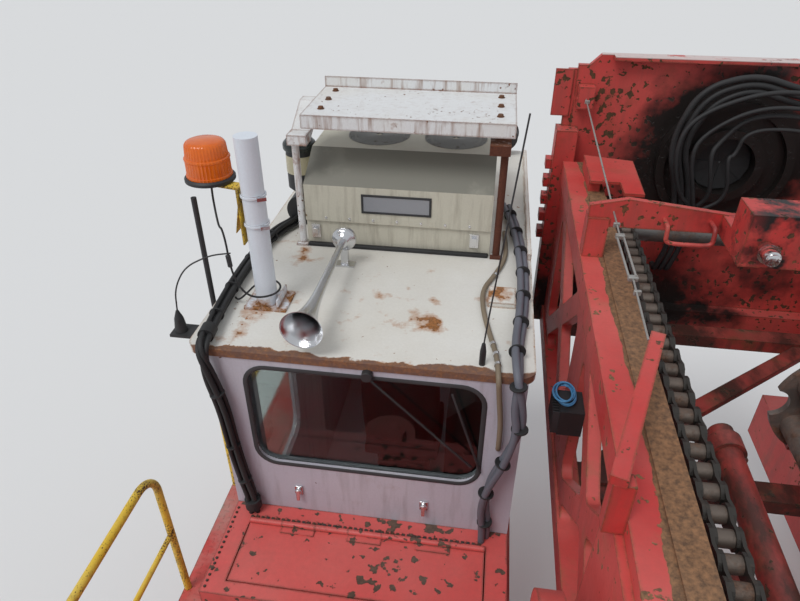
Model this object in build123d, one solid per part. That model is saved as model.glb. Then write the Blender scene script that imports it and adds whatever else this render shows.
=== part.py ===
from build123d import *
import math
import os

# Crawler-mounted blasthole drilling rig, mast lowered over the machine, in millimetres.
# +Y runs from the power pack to the drill end, +X is the side away from the cab, +Z is up.
# The origin is on the ground, at the middle of the length and width.

# Whole machine
HALF_LENGTH = 5750
HALF_WIDTH = 2900
DECK_Z = 1350
DECK_T = 30
GAP = 5
FIT = 0.3

# Main frame
RAIL_IN = 1010
RAIL_W = 320
RAIL_H = 400
RAIL_OUT = RAIL_IN + RAIL_W
RAIL_BOTTOM = DECK_Z - RAIL_H
RAIL_BACK = 350 - HALF_LENGTH
CROSS_W = 260
CROSS_DROP = 60
CROSS_TOP = DECK_Z - CROSS_DROP
CROSS_YS = (RAIL_BACK + 600, -3000, -1350, 150, 1500)
DECK_BACK = RAIL_BACK + 100
DECK_FRONT = HALF_LENGTH - 150
DECK_UNDER = DECK_Z - DECK_T
OUTRIGGER_YS = (DECK_BACK + 100, -3800, -2500, -1000, 500, 1900, 3500, 4700, DECK_FRONT - 120)
OUTRIGGER_W = 120
OUTRIGGER_H = 160
OUTRIGGER_INSET = 60

# Tracks
TRACK_X = 1750
TRACK_W = 560
TRACK_HALF = 1920
TRACK_R = 380
SHOE_COUNT = 42
SHOE_T = 30
SHOE_GAP = 16
GROUSER_H = 35
GROUSER_W = 34
AXLE_Z = TRACK_R + SHOE_T + GROUSER_H
LINK_H = 110
LINK_W = 140
LINK_LAP = 6
LINK_R = TRACK_R - LINK_H
ROLLER_R = 110
ROLLER_HALF = 100
ROLLER_COUNT = 8
ROLLER_ENDS = 480
CARRIER_R = 50
CARRIER_Y = 620
TRACK_BEAM_HALF = 110
TRACK_BEAM_BOTTOM = 330
TRACK_BEAM_TOP = 620
TRACK_BEAM_ENDS = 420
YOKE_T = 40
YOKE_HALF_H = 60
WHEEL_HALF = 60
WHEEL_HUB_R = 75
WHEEL_WEB_R = 225
WHEEL_DISH = 32
SPROCKET_NOTCHES = 11
NOTCH_R = 26
FINAL_DRIVE_R = 150
FINAL_DRIVE_L = 90
AXLE_YS = (-1350, 1500)
AXLE_HALF = 1430
AXLE_W = 300
AXLE_BOTTOM = 400

# Levelling jacks
JACK_X = 1750
JACK_YS = (RAIL_BACK + 950, 2700)
JACK_R = 130
JACK_COLLAR_R = 145
JACK_COLLAR_H = 60
JACK_CAP_H = 40
JACK_ROD_R = 85
JACK_TOP = 2300
JACK_BOTTOM = 700
JACK_BEAM_W = 220
JACK_PAD_R = 330
JACK_PAD_Z = 330
JACK_PAD_T = 50
JACK_KNUCKLE_R = 120
JACK_KNUCKLE_H = 80

# Mast
CROWN_L = 300
MAST_HALF = 900
MAST_TOP = 3445
MAST_DEPTH = 1135
MAST_LOW = MAST_TOP - MAST_DEPTH
TOP_CHORD_W = 187
TOP_CHORD_H = 125
LOW_CHORD_W = 120
LOW_CHORD_H = 120
FACE_TOP = 100
FACE_BOTTOM = 20
FACE_BAR_W = 120
FACE_BRACE_W = 90
MAST_BACK = CROWN_L - HALF_LENGTH
MAST_FRONT = 5160
PANELS = 8
POST_W = 260
BRACE_W = 110
BRACE_T = 50
BRACE_OUT = MAST_HALF - 15
BRACE_IN = BRACE_OUT - BRACE_T
WEB_LAP = 20
WEB_ROUND = 42
RAIL_STRIP_W = 88
RAIL_STRIP_T = 8
RAIL_STRIP_ENDS = (300, 500)
CROWN_T = 60
CROWN_RISE = 300

# Mast pivot and its towers
PIVOT_Y = 2500
PIVOT_Z = 2950
PIVOT_R = 70
PIVOT_BOSS_R = 150
PIVOT_PLATE_HALF = 330
TOWER_T = 80
TOWER_HEAD_R = 190
TOWER_FOOT = 900
TOWER_LEAN = 250
TOWER_HOLE_R = 130

# Lift cylinders
LIFT_X = 1095
LIFT_BASE = (-1200, 1550)
LIFT_LUG = (1100, 2600)
BARREL_R = 80
GLAND_R = 95
ROD_R = 50
EYE_R = 90
EYE_W = 110
LUG_T = 25
PIN_R = 40

# Foot of the mast
FOOT_Y = 5250
FOOT_T = 40
FOOT_HALF = MAST_HALF - 20
FOOT_TOP = 4030
FOOT_LIP = 60
FOOT_SIDE = 1000
SIDE_BOX_W = 120
DRILL_Z = 3450
BUSHING_R = 370
BUSHING_LIP = 70
BUSHING_BORE_R = 165
CLEVIS_X = 823
CLEVIS_Z = 3807
RIB_COUNT = 5
RIB_PITCH = 115

# Wrench arm above the drill string, and the fittings on the left chord
ARM_Y = 4060
ARM_T = 30
ARM_Z = 3590
WRENCH_X = (-360, 260)
WRENCH_Y = (3760, 3920)
WRENCH_H = 215
TAG_Z = 3505
LEVER_OUT = (-942, 2645)
LEVER_IN = (-747, 3240)
LEVER_Z = 3570
LEVER_W = 46
LEVER_T = 30
MAST_LAMP = (3440, 3050)

# Rotary head
HEAD_Y = MAST_BACK + 550
HEAD_L = 1000
HEAD_HALF = 280
HEAD_TOP = 250
HEAD_UNDER = 290
HEAD_DECK = (MAST_TOP + 40, MAST_TOP + 110)
HEAD_DECK_HALF = MAST_HALF - 90
SPINDLE_R = 95
SPINDLE_FLANGE_R = 135
MOTOR_X = 140
MOTOR_R = 95

# Rod carousel
CAROUSEL_X = 360
CAROUSEL_Z = 2800
CAROUSEL_R = 300
CAROUSEL_PITCH_R = 205
CAROUSEL_ENDS = (-2600, 3950)
CAROUSEL_T = 30
CAROUSEL_SHAFT_R = 45
PIPE_R = 64
PIPE_COUNT = 5

# Feed cylinder
FEED_X = -150
FEED_Z = 2650
FEED_R = 60
FEED_GLAND_R = 78
FEED_ENDS = (MAST_BACK + 1300, 3850)
FEED_SADDLE = 160

# Feed chains
CHAIN_X = 649
CHAIN_W = 96
CHAIN_H = 60
CHAIN_PLATE = 18
CHAIN_Z = 3395
SPROCKET_R = 150
SPROCKET_W = 40
SPROCKET_TEETH = 12
CHAIN_SHAFT_R = 45
CHAIN_ENDS = (MAST_BACK - 30, 4700)

# Cab
CAB_LEFT = -2346
CAB_RIGHT = -1120
CAB_NEAR = 3305
CAB_FAR = 5540
CAB_FLOOR_T = 70
ROOF_Z = 3320
ROOF_T = 32
ROOF_ROUND = 60
WALL_T = 50
ROOF_LEFT = -2434
ROOF_RIGHT = -1095
ROOF_NEAR = 3300
ROOF_FAR = 5640
WINDOW_R = 90
GLASS_T = 8
SILL_Z = 2720
HEAD_Z = 3250
LOW_SILL_Z = 2050

# Cab door, in the left wall
DOOR_NEAR = 3505
DOOR_FAR = 4195
DOOR_BOTTOM = 1470
DOOR_TOP = 3200
DOOR_FRAME = 90
DOOR_HINGE_R = 14
KNUCKLE_H = 100
KNUCKLE_ZS = (1700, 2900)

# Hood box in front of the cab
HOOD_BACK = 2850
HOOD_TOP = 2435
HOOD_T = 30
LID_GAP = 100
LID_BORDER = 90
LID_EDGE = 60
LID_T = 25
LID_HINGE_R = 12
LID_LEAF = 20
LID_KNUCKLES = 7

# Rooftop air conditioner
AC_X = (-2179, -1294)
AC_NEAR = 4173
AC_FAR = AC_NEAR + 877
AC_SPLIT = 135
AC_SET = 12
AC_FRONT_H = 318
AC_SLOPE = 200
AC_TOP_H = 432
FAN_XS = (-1885, -1500)
FAN_Y = AC_NEAR + 407
FAN_R = 155
FAN_DEPTH = 30
FAN_RINGS = (45, 85, 125)
FAN_WIRE = 8
BLOWER_R = 80
BLOWER_X = AC_X[0] - BLOWER_R - 3
BLOWER_Y = (4380, 4480)
CLEANER_R = 70
CLEANER_TOP = 3780

# Guard shelf over it
GUARD_XS = (-2205, -1262)
GUARD_Y = AC_NEAR + 17
GUARD_POST_R = 17
GUARD_POST_TOP = 3835
SHELF_X = (-2160, -1225)
SHELF_Y = (AC_NEAR - 23, AC_NEAR + 447)
SHELF_Z = 3965
SHELF_T = 6
SHELF_LIP = 55
ARM_W = 90

# Tube, beacon and horn on the roof
TUBE_X = -2210
TUBE_Y = 3640
TUBE_R = 44.5
TUBE_TOP = 4050
CLAMP_ZS = (3700, 3820)
BEACON_X = -2400
BEACON_Y = 3700
BEACON_Z = 3845
BEACON_RIM_R = 98
BEACON_RIM_H = 20
LENS_R = 88
LENS_TOP_R = 75
LENS_H = 140
HORN_X = -1955
HORN_Z = 3455
HORN_BELL_Y = ROOF_NEAR - 8
HORN_DRUM_Y = AC_NEAR - 188
HORN_DRUM_R = 55
HORN_DRUM_L = 40
HORN_WALL = 3

# Hoses and whips
BUNDLE_R = 32
CONDUIT_R = 28
TAN_R = 12
HOSE_R = 16
HOSE_STEP = 38
WHIP_R = 3
WHIP_BASE_R = 26

# Power pack between and beside the rails
ENGINE_HALF = 330
ENGINE_Y = (RAIL_BACK + 2650, RAIL_BACK + 4000)
ENGINE_TOP = 2100
SCREW_R = 300
SCREW_Z = 1640
SCREW_Y = (ENGINE_Y[1] + 130, 560)
RADIATOR_Y = (RAIL_BACK, RAIL_BACK + 400)
RADIATOR_TOP = 2230
FAN_Z = 1700
FAN_BLADE_R = 400
FAN_HUB_R = 70
FAN_SHAFT_R = 30
FAN_BLADES = 6
SLATS = 12

# Tanks and machinery on the decks
TANK_OUT = HALF_WIDTH - 620
TANK_IN = RAIL_OUT + 90
TANK_ROUND = 60
STRAP_W = 60
STRAP_T = 8
RECEIVER_R = 380
RECEIVER_Z = 1850
DUST_TOP = 3200
DUST_Y = (3200, 4900)
DUST_LEG = 70
MUFFLER_R = 180
STACK_R = 70
MUFFLER_Y = (RAIL_BACK + 4150, RAIL_BACK + 5450)
WATER_TANK_Y = (RAIL_BACK + 1500, RAIL_BACK + 3800)
FUEL_TANK_Y = (RAIL_BACK + 3200, RAIL_BACK + 5700)
HYDRAULIC_TANK_Y = (MUFFLER_Y[1] + 650, JACK_YS[1] - 550)
TANK_TOP = 2350
HYDRAULIC_TANK_TOP = 2450

# Handrails and ladder
RAIL_H_TOP = 1000
RAIL_H_MID = 500
RAIL_TUBE_R = 21
RAIL_MID_R = 15
RAIL_BEND = 150
RAIL_POST_STEP = 1500
LADDER_YS = (3560, 4160)
LADDER_LOW = 450
LADDER_STEPS = (480, 760, 1040, 1290)


def box(x0, x1, y0, y1, z0, z1):
    """Block between two corners."""
    return Pos((x0 + x1) / 2, (y0 + y1) / 2, (z0 + z1) / 2) * Box(x1 - x0, y1 - y0, z1 - z0)


def rod_x(x0, x1, y, z, r):
    """Round bar along X."""
    return Pos((x0 + x1) / 2, y, z) * Rot(0, 90, 0) * Cylinder(r, x1 - x0)


def rod_y(x, y0, y1, z, r):
    """Round bar along Y."""
    return Pos(x, (y0 + y1) / 2, z) * Rot(90, 0, 0) * Cylinder(r, y1 - y0)


def rod_z(x, y, z0, z1, r):
    """Round bar along Z."""
    return Pos(x, y, (z0 + z1) / 2) * Cylinder(r, z1 - z0)


def plate_x(x0, x1, points):
    """Flat plate whose outline is drawn in Y and Z, between two X planes."""
    face = make_face(Polyline([(x0, y, z) for y, z in points], close=True))
    return extrude(face, amount=x1 - x0, dir=(1, 0, 0))


def plate_y(y0, y1, points):
    """Flat plate whose outline is drawn in X and Z, between two Y planes."""
    face = make_face(Polyline([(x, y0, z) for x, z in points], close=True))
    return extrude(face, amount=y1 - y0, dir=(0, 1, 0))


def turned_y(x, z, profile):
    """Solid of revolution about an axis along Y, from (radius, y) points."""
    face = make_face(Polyline([(x + r, y, z) for r, y in profile], close=True))
    return revolve(face, axis=Axis((x, 0, z), (0, 1, 0)))


def turned_z(x, y, profile):
    """Solid of revolution about an axis along Z, from (radius, z) points."""
    face = make_face(Polyline([(x + r, y, z) for r, z in profile], close=True))
    return revolve(face, axis=Axis((x, y, 0), (0, 0, 1)))


def both(shape):
    """A shape and its mirror image across the middle of the machine."""
    return [shape, mirror(shape, Plane.YZ)]


def fuse(shapes):
    """One shape from touching ones."""
    shapes = list(shapes)
    return shapes[0].fuse(*shapes[1:]).clean() if len(shapes) > 1 else shapes[0]


def solids_of(shapes):
    """All the solids in a list of shapes."""
    return [s for shape in shapes for s in shape.solids()]


def save(name, *shapes):
    """Write one node, as the solids that it is made of."""
    solids = solids_of(shapes)
    item = solids[0] if len(solids) == 1 else Compound(solids)
    export_step(item, f"parts/{name}.step")


def tube(points, r):
    """Round tube along straight runs joined by arcs as large as the runs allow."""
    radii = []
    for before, here, after in zip(points, points[1:], points[2:]):
        a, b = Vector(*here) - Vector(*before), Vector(*after) - Vector(*here)
        half_turn = math.radians(a.get_angle(b)) / 2
        radii.append(0.45 * min(a.length, b.length) / math.tan(half_turn))
    path = FilletPolyline(*points, radius=radii)
    section = Plane(origin=path @ 0, z_dir=path % 0) * Circle(r)
    return sweep(section, path=path)


def main_frame():
    """Two box rails, cross members between them, tapered outriggers, track axles and mast rests."""
    parts = both(box(RAIL_IN, RAIL_OUT, RAIL_BACK, HALF_LENGTH, RAIL_BOTTOM, DECK_Z))
    for y in CROSS_YS:
        parts.append(box(-RAIL_IN, RAIL_IN, y - CROSS_W / 2, y + CROSS_W / 2, RAIL_BOTTOM, CROSS_TOP))
    for y in OUTRIGGER_YS:
        root, tip = RAIL_OUT, HALF_WIDTH - OUTRIGGER_INSET
        low = DECK_UNDER - OUTRIGGER_H
        outline = [(root, DECK_UNDER), (tip, DECK_UNDER), (tip, DECK_UNDER - OUTRIGGER_H / 2), (root, low)]
        parts += both(plate_y(y - OUTRIGGER_W / 2, y + OUTRIGGER_W / 2, outline))
    for y in AXLE_YS:
        parts.append(box(-AXLE_HALF, AXLE_HALF, y - AXLE_W / 2, y + AXLE_W / 2, AXLE_BOTTOM, RAIL_BOTTOM))
        reach = TRACK_X - TRACK_BEAM_HALF
        parts.append(box(-reach, reach, y - AXLE_W / 2, y + AXLE_W / 2, AXLE_BOTTOM, TRACK_BEAM_TOP))
    parts += both(mast_rest())
    return fuse(parts)


def mast_rest():
    """Rear stand that the lowered mast lies on, right half."""
    y = CROSS_YS[0]
    half, neck = CROSS_W / 2, 80
    top = MAST_LOW - FIT
    outline = [(y - half, CROSS_TOP), (y + half, CROSS_TOP), (y + neck, top), (y - neck, top)]
    return plate_x(MAST_HALF - 80, MAST_HALF, outline)


def track_frame():
    """Side beam of one track with its rollers, idler yoke and final drive, on the right side."""
    end = TRACK_HALF - TRACK_BEAM_ENDS
    shoulder = 90
    outline = [(-end, TRACK_BEAM_BOTTOM), (end, TRACK_BEAM_BOTTOM), (end, TRACK_BEAM_TOP - shoulder),
               (end - shoulder, TRACK_BEAM_TOP), (-end + shoulder, TRACK_BEAM_TOP),
               (-end, TRACK_BEAM_TOP - shoulder)]
    parts = [plate_x(TRACK_X - TRACK_BEAM_HALF, TRACK_X + TRACK_BEAM_HALF, outline)]
    first = -TRACK_HALF + ROLLER_ENDS
    for i in range(ROLLER_COUNT):
        y = first - i * 2 * first / (ROLLER_COUNT - 1)
        z = SHOE_T + GROUSER_H + LINK_H + ROLLER_R + 1
        parts.append(rod_x(TRACK_X - ROLLER_HALF, TRACK_X + ROLLER_HALF, y, z, ROLLER_R))
    for y in (-CARRIER_Y, CARRIER_Y):
        z = AXLE_Z + LINK_R - CARRIER_R - 1
        parts.append(rod_x(TRACK_X - LINK_W / 2, TRACK_X + LINK_W / 2, y, z, CARRIER_R))
        parts.append(box(TRACK_X - LINK_W / 2, TRACK_X - LINK_W / 4, y - CARRIER_R / 2, y + CARRIER_R / 2,
                         TRACK_BEAM_TOP - 1, z))
    for side in (-1, 1):
        for x in (TRACK_X - TRACK_BEAM_HALF, TRACK_X + TRACK_BEAM_HALF - YOKE_T):
            y0, y1 = sorted((side * (end - 10), side * (TRACK_HALF + YOKE_HALF_H)))
            parts.append(box(x, x + YOKE_T, y0, y1, AXLE_Z - YOKE_HALF_H, AXLE_Z + YOKE_HALF_H))
    outer = TRACK_X + TRACK_BEAM_HALF
    parts.append(rod_x(outer, outer + FINAL_DRIVE_L, TRACK_HALF, AXLE_Z, FINAL_DRIVE_R))
    parts.append(rod_x(outer, outer + FINAL_DRIVE_L + YOKE_T, TRACK_HALF, AXLE_Z, FINAL_DRIVE_R / 2))
    return fuse(parts)


def track_wheels():
    """Idler and notched drive wheel of one track, on the right side."""
    wheels = []
    rim = LINK_R - 1
    for y in (-TRACK_HALF, TRACK_HALF):
        disc = rod_x(TRACK_X - WHEEL_HALF, TRACK_X + WHEEL_HALF, y, AXLE_Z, rim)
        for x in (TRACK_X - WHEEL_HALF, TRACK_X + WHEEL_HALF):
            dish = rod_x(x - WHEEL_DISH, x + WHEEL_DISH, y, AXLE_Z, WHEEL_WEB_R)
            disc -= dish - rod_x(x - 2 * WHEEL_DISH, x + 2 * WHEEL_DISH, y, AXLE_Z, WHEEL_HUB_R)
        hub_half = TRACK_BEAM_HALF - YOKE_T - FIT
        hub = rod_x(TRACK_X - hub_half, TRACK_X + hub_half, y, AXLE_Z, WHEEL_HUB_R - 5)
        wheels.append(disc.fuse(hub))
    notches = []
    for i in range(SPROCKET_NOTCHES):
        angle = 2 * math.pi * i / SPROCKET_NOTCHES
        notches.append(rod_x(TRACK_X - WHEEL_HALF - 1, TRACK_X + WHEEL_HALF + 1,
                             TRACK_HALF + rim * math.cos(angle), AXLE_Z + rim * math.sin(angle), NOTCH_R))
    wheels[1] = wheels[1].cut(*notches)
    return wheels


def belt_outline(y0, y1, z, radius):
    """Closed outline of a belt round two wheels with centres at y0 and y1, in Y and Z."""
    bottom = Line((0, y0, z - radius), (0, y1, z - radius))
    front = ThreePointArc((0, y1, z - radius), (0, y1 + radius, z), (0, y1, z + radius))
    top = Line((0, y1, z + radius), (0, y0, z + radius))
    back = ThreePointArc((0, y0, z + radius), (0, y0 - radius, z), (0, y0, z - radius))
    return make_face(bottom + front + top + back)


def belt(x, width, y0, y1, z, outer, inner):
    """Closed belt centred on a plane of constant X, from an inner to an outer radius."""
    ring = [extrude(belt_outline(y0, y1, z, r), amount=width, dir=(1, 0, 0)) for r in (outer, inner)]
    return Pos(x - width / 2, 0, 0) * (ring[0] - ring[1])


def track_loop():
    """One track as a closed loop of link rail and shoes with a grouser each, on the right side."""
    run, arc = 2 * TRACK_HALF, math.pi * TRACK_R
    pitch = 2 * (run + arc) / SHOE_COUNT
    half, low = (pitch - SHOE_GAP) / 2, -SHOE_T - GROUSER_H
    back = half - 2 * GROUSER_W
    shoe = plate_x(-TRACK_W / 2, TRACK_W / 2,
                   [(-half, 0), (half, 0), (half, -SHOE_T), (back + GROUSER_W, -SHOE_T),
                    (back + GROUSER_W / 2, low), (back, -SHOE_T), (-half, -SHOE_T)])
    radius = TRACK_R - SHOE_T
    shoes = []
    for i in range(SHOE_COUNT):
        s = (i + 0.5) * pitch
        if s < run:
            y, z, angle = s - TRACK_HALF, AXLE_Z - radius, 0
        elif s < run + arc:
            angle = (s - run) / TRACK_R
            y, z = TRACK_HALF + radius * math.sin(angle), AXLE_Z - radius * math.cos(angle)
        elif s < 2 * run + arc:
            y, z, angle = TRACK_HALF - (s - run - arc), AXLE_Z + radius, math.pi
        else:
            angle = math.pi + (s - 2 * run - arc) / TRACK_R
            y, z = -TRACK_HALF + radius * math.sin(angle), AXLE_Z - radius * math.cos(angle)
        shoes.append(Pos(TRACK_X, y, z) * Rot(math.degrees(angle), 0, 0) * shoe)
    links = belt(TRACK_X, LINK_W, -TRACK_HALF, TRACK_HALF, AXLE_Z, radius + LINK_LAP, LINK_R)
    return fuse([links] + shoes)


def jack_casing(y):
    """Cylinder casing of one levelling jack and the beam that holds it, on the right side."""
    casing = rod_z(JACK_X, y, JACK_BOTTOM, JACK_TOP, JACK_R)
    collars = [rod_z(JACK_X, y, z, z + JACK_COLLAR_H, JACK_COLLAR_R)
               for z in (JACK_BOTTOM, DECK_Z + GAP, JACK_TOP - JACK_COLLAR_H)]
    cap = rod_z(JACK_X, y, JACK_TOP, JACK_TOP + JACK_CAP_H, JACK_R - JACK_CAP_H)
    bore = rod_z(JACK_X, y, JACK_BOTTOM - 1, JACK_TOP - 3 * JACK_CAP_H, JACK_ROD_R + FIT)
    beam = box(RAIL_OUT, JACK_X, y - JACK_BEAM_W / 2, y + JACK_BEAM_W / 2, RAIL_BOTTOM, DECK_UNDER - GAP)
    return fuse([casing, cap, beam] + collars) - bore


def jack_leg(y):
    """Rod and ground pad of one levelling jack, on the right side."""
    top = JACK_PAD_Z + JACK_PAD_T
    rod = rod_z(JACK_X, y, top, JACK_TOP - 4 * JACK_CAP_H, JACK_ROD_R)
    knuckle = rod_z(JACK_X, y, top, top + JACK_KNUCKLE_H, JACK_KNUCKLE_R)
    rim = JACK_PAD_R - JACK_PAD_T
    pad = turned_z(JACK_X, y, [(0, JACK_PAD_Z), (rim, JACK_PAD_Z), (JACK_PAD_R, JACK_PAD_Z + JACK_PAD_T / 2),
                               (JACK_PAD_R, top), (0, top)])
    return fuse([rod, knuckle, pad])


def post_y(i):
    """Middle of one of the mast's posts, counted from the crown."""
    pitch = (MAST_FRONT - MAST_BACK - POST_W) / PANELS
    return MAST_BACK + POST_W / 2 + i * pitch


def panel_windows():
    """The four rounded triangles that the crossed braces leave open in the first panel."""
    y0, y1 = post_y(0) + POST_W / 2, post_y(1) - POST_W / 2
    z0, z1 = MAST_LOW + LOW_CHORD_H, MAST_TOP - TOP_CHORD_H
    yc, zc = (y0 + y1) / 2, (z0 + z1) / 2
    half_y, half_z = (y1 - y0) / 2, (z1 - z0) / 2
    angle = math.atan2(half_z, half_y)
    off_y, off_z = BRACE_W / 2 / math.sin(angle), BRACE_W / 2 / math.cos(angle)
    outlines = []
    for s in (-1, 1):
        side_y, side_z = yc + s * half_y, zc + s * half_z
        outlines.append([(yc + s * off_y, zc), (side_y, zc + half_z - off_z), (side_y, zc - half_z + off_z)])
        outlines.append([(yc, zc + s * off_z), (yc + half_y - off_y, side_z), (yc - half_y + off_y, side_z)])
    windows = []
    for outline in outlines:
        block = plate_x(BRACE_IN - 1, BRACE_OUT + 1, outline)
        windows.append(fillet(block.edges().filter_by(Axis.X), WEB_ROUND))
    return windows


def mast_side():
    """Right side of the mast: two chords and a web of posts and crossed braces cut from plate."""
    top = box(MAST_HALF - TOP_CHORD_W, MAST_HALF, MAST_BACK, MAST_FRONT, MAST_TOP - TOP_CHORD_H, MAST_TOP)
    strip_back, strip_front = RAIL_STRIP_ENDS
    strip = box(MAST_HALF - TOP_CHORD_W, MAST_HALF - TOP_CHORD_W + RAIL_STRIP_W, MAST_BACK + strip_back,
                MAST_FRONT - strip_front, MAST_TOP, MAST_TOP + RAIL_STRIP_T)
    low = box(MAST_HALF - LOW_CHORD_W, MAST_HALF, MAST_BACK, MAST_FRONT, MAST_LOW, MAST_LOW + LOW_CHORD_H)
    web = box(BRACE_IN, BRACE_OUT, MAST_BACK, MAST_FRONT, MAST_LOW + LOW_CHORD_H - WEB_LAP,
              MAST_TOP - TOP_CHORD_H + WEB_LAP)
    pitch = post_y(1) - post_y(0)
    web = web.cut(*[Pos(0, i * pitch, 0) * window for i in range(PANELS) for window in panel_windows()])
    return fuse([top, strip, low, web])


def mast_pivot_boss():
    """Boss and pin on the right side of the mast, which turn in the tower."""
    boss = rod_x(MAST_HALF, RAIL_IN - GAP, PIVOT_Y, PIVOT_Z, PIVOT_BOSS_R)
    pin = rod_x(MAST_HALF, RAIL_IN + TOWER_T + 20, PIVOT_Y, PIVOT_Z, PIVOT_R)
    low, high = MAST_LOW + 60, MAST_TOP - 60
    half, top_half = PIVOT_PLATE_HALF, PIVOT_PLATE_HALF - 90
    plate = plate_x(MAST_HALF - 10, MAST_HALF + LUG_T,
                    [(PIVOT_Y - half, low), (PIVOT_Y + half, low),
                     (PIVOT_Y + top_half, high), (PIVOT_Y - top_half, high)])
    return fuse([boss, pin, plate])


def lift_lug():
    """Two ears on the right side of the mast that take the lift cylinder's rod eye."""
    y, z = LIFT_LUG
    back, foot, drop, rise = 190, 110, 90, 160
    outline = [(y - back, z + rise), (y + back, z + rise), (y + foot, z - drop), (y - foot, z - drop)]
    inner = LIFT_X - EYE_W / 2 - GAP - LUG_T
    outer = LIFT_X + EYE_W / 2 + GAP
    parts = [plate_x(x, x + LUG_T, outline) for x in (inner, outer)]
    web_z = z + EYE_R + 40
    web = box(MAST_HALF - 10, outer + LUG_T, y - back, y - 15, web_z, web_z + 40)
    wall = box(MAST_HALF - 10, MAST_HALF + 15, y - 260, y + 260, MAST_LOW + 20, z + 300)
    stay = box(MAST_HALF, inner + LUG_T, y + foot, y + back, web_z, z + rise)
    return fuse(parts + [web, wall, stay]) - rod_x(inner - 1, outer + LUG_T + 1, y, z, PIN_R)


def mast_lower_face():
    """Cross members and diagonals of the mast's lower face."""
    inner = MAST_HALF - LOW_CHORD_W
    z0, z1 = MAST_LOW + FACE_BOTTOM, MAST_LOW + FACE_TOP
    ys = [post_y(i) for i in range(PANELS + 1)]
    parts = [box(-inner, inner, y - FACE_BAR_W / 2, y + FACE_BAR_W / 2, z0, z1) for y in ys]
    for i, (y0, y1) in enumerate(zip(ys, ys[1:])):
        side = 1 if i % 2 else -1
        length = math.hypot(2 * inner, y1 - y0)
        angle = math.degrees(math.atan2(y1 - y0, side * 2 * inner))
        brace = Box(length - FACE_BAR_W, FACE_BRACE_W, (z1 - z0) / 2)
        parts.append(Pos(0, (y0 + y1) / 2, (z0 + z1) / 2) * Rot(0, 0, angle) * brace)
    return fuse(parts)


def mast_crown():
    """End box of the mast with its hoist sheaves on a pin between two plates."""
    end = -HALF_LENGTH
    floor_z = MAST_LOW + CROWN_RISE
    head = box(-MAST_HALF, MAST_HALF, end, MAST_BACK, floor_z, MAST_TOP)
    hollow = box(-MAST_HALF + CROWN_T, MAST_HALF - CROWN_T, end + CROWN_T, MAST_BACK + 1,
                 floor_z + CROWN_T, MAST_TOP + 1)
    foot = box(-MAST_HALF, MAST_HALF, MAST_BACK - CROWN_T, MAST_BACK, MAST_LOW, floor_z)
    sheave_y, sheave_z, sheave_r = MAST_BACK - 150, floor_z + 230, 140
    pin = rod_x(-250, 250, sheave_y, sheave_z, 35)
    cheeks = [box(x - 15, x + 15, sheave_y - 80, sheave_y + 80, floor_z + CROWN_T - 1, sheave_z + 60)
              for x in (-250, 250)]
    sheaves = []
    for x in (-120, 120):
        sheaves += [rod_x(x - 30, x + 30, sheave_y, sheave_z, sheave_r - 25),
                    rod_x(x - 30, x - 14, sheave_y, sheave_z, sheave_r),
                    rod_x(x + 14, x + 30, sheave_y, sheave_z, sheave_r)]
    return fuse([head - hollow, foot, pin] + cheeks + sheaves)


def mast_foot():
    """Foot plate with the drill bushing, its lip, side boxes, ribs and cable clevis."""
    front = FOOT_Y + FOOT_T
    step = 60
    plate = plate_y(FOOT_Y, front, [(-FOOT_HALF, MAST_LOW), (FOOT_HALF, MAST_LOW), (FOOT_HALF, FOOT_TOP),
                                    (-FOOT_HALF + 2 * step, FOOT_TOP), (-FOOT_HALF + step, FOOT_TOP - step),
                                    (-FOOT_HALF, FOOT_TOP - step)])
    lip = box(-FOOT_HALF + 3 * step, FOOT_HALF, FOOT_Y - FOOT_LIP, front, FOOT_TOP - 20, FOOT_TOP)
    ring = rod_y(0, FOOT_Y - BUSHING_LIP, front + 50, DRILL_Z, BUSHING_R)
    cup = rod_y(0, FOOT_Y - BUSHING_LIP - 1, FOOT_Y - 25, DRILL_Z, BUSHING_R - 45)
    nose = rod_y(0, FOOT_Y - BUSHING_LIP, front, DRILL_Z, BUSHING_BORE_R + 50)
    parts = [plate, lip, ring - cup, nose]
    half = SIDE_BOX_W / 2
    side = box(MAST_HALF - half, MAST_HALF + half, MAST_FRONT, front, MAST_LOW, MAST_TOP + 180)
    wing = box(MAST_HALF, FOOT_SIDE, FOOT_Y, FOOT_Y + 15, MAST_TOP + 240, MAST_TOP + 500)
    post = box(MAST_HALF - 30, MAST_HALF + 30, FOOT_Y + 10, front, MAST_TOP + 150, MAST_TOP + 500)
    ribs = [box(MAST_HALF + SIDE_BOX_W / 2 - 1, FOOT_SIDE - 5, FOOT_Y - 50, FOOT_Y + 30,
                MAST_TOP - 10 - i * RIB_PITCH - RIB_PITCH / 2, MAST_TOP - 10 - i * RIB_PITCH)
            for i in range(RIB_COUNT)]
    parts += [s for shape in [side, wing, post] + ribs for s in both(shape)]
    parts.append(box(-FOOT_HALF, FOOT_HALF, MAST_FRONT, FOOT_Y, MAST_LOW, MAST_LOW + 160))
    ear = box(-CLEVIS_X - 45, -CLEVIS_X + 45, FOOT_Y - 70, FOOT_Y, CLEVIS_Z - 60, CLEVIS_Z + 60)
    parts.append(ear - rod_x(-CLEVIS_X - 50, -CLEVIS_X + 50, FOOT_Y - 35, CLEVIS_Z, 18))
    return fuse(parts) - rod_y(0, FOOT_Y - 2 * BUSHING_LIP, front + 100, DRILL_Z, BUSHING_BORE_R)


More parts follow.
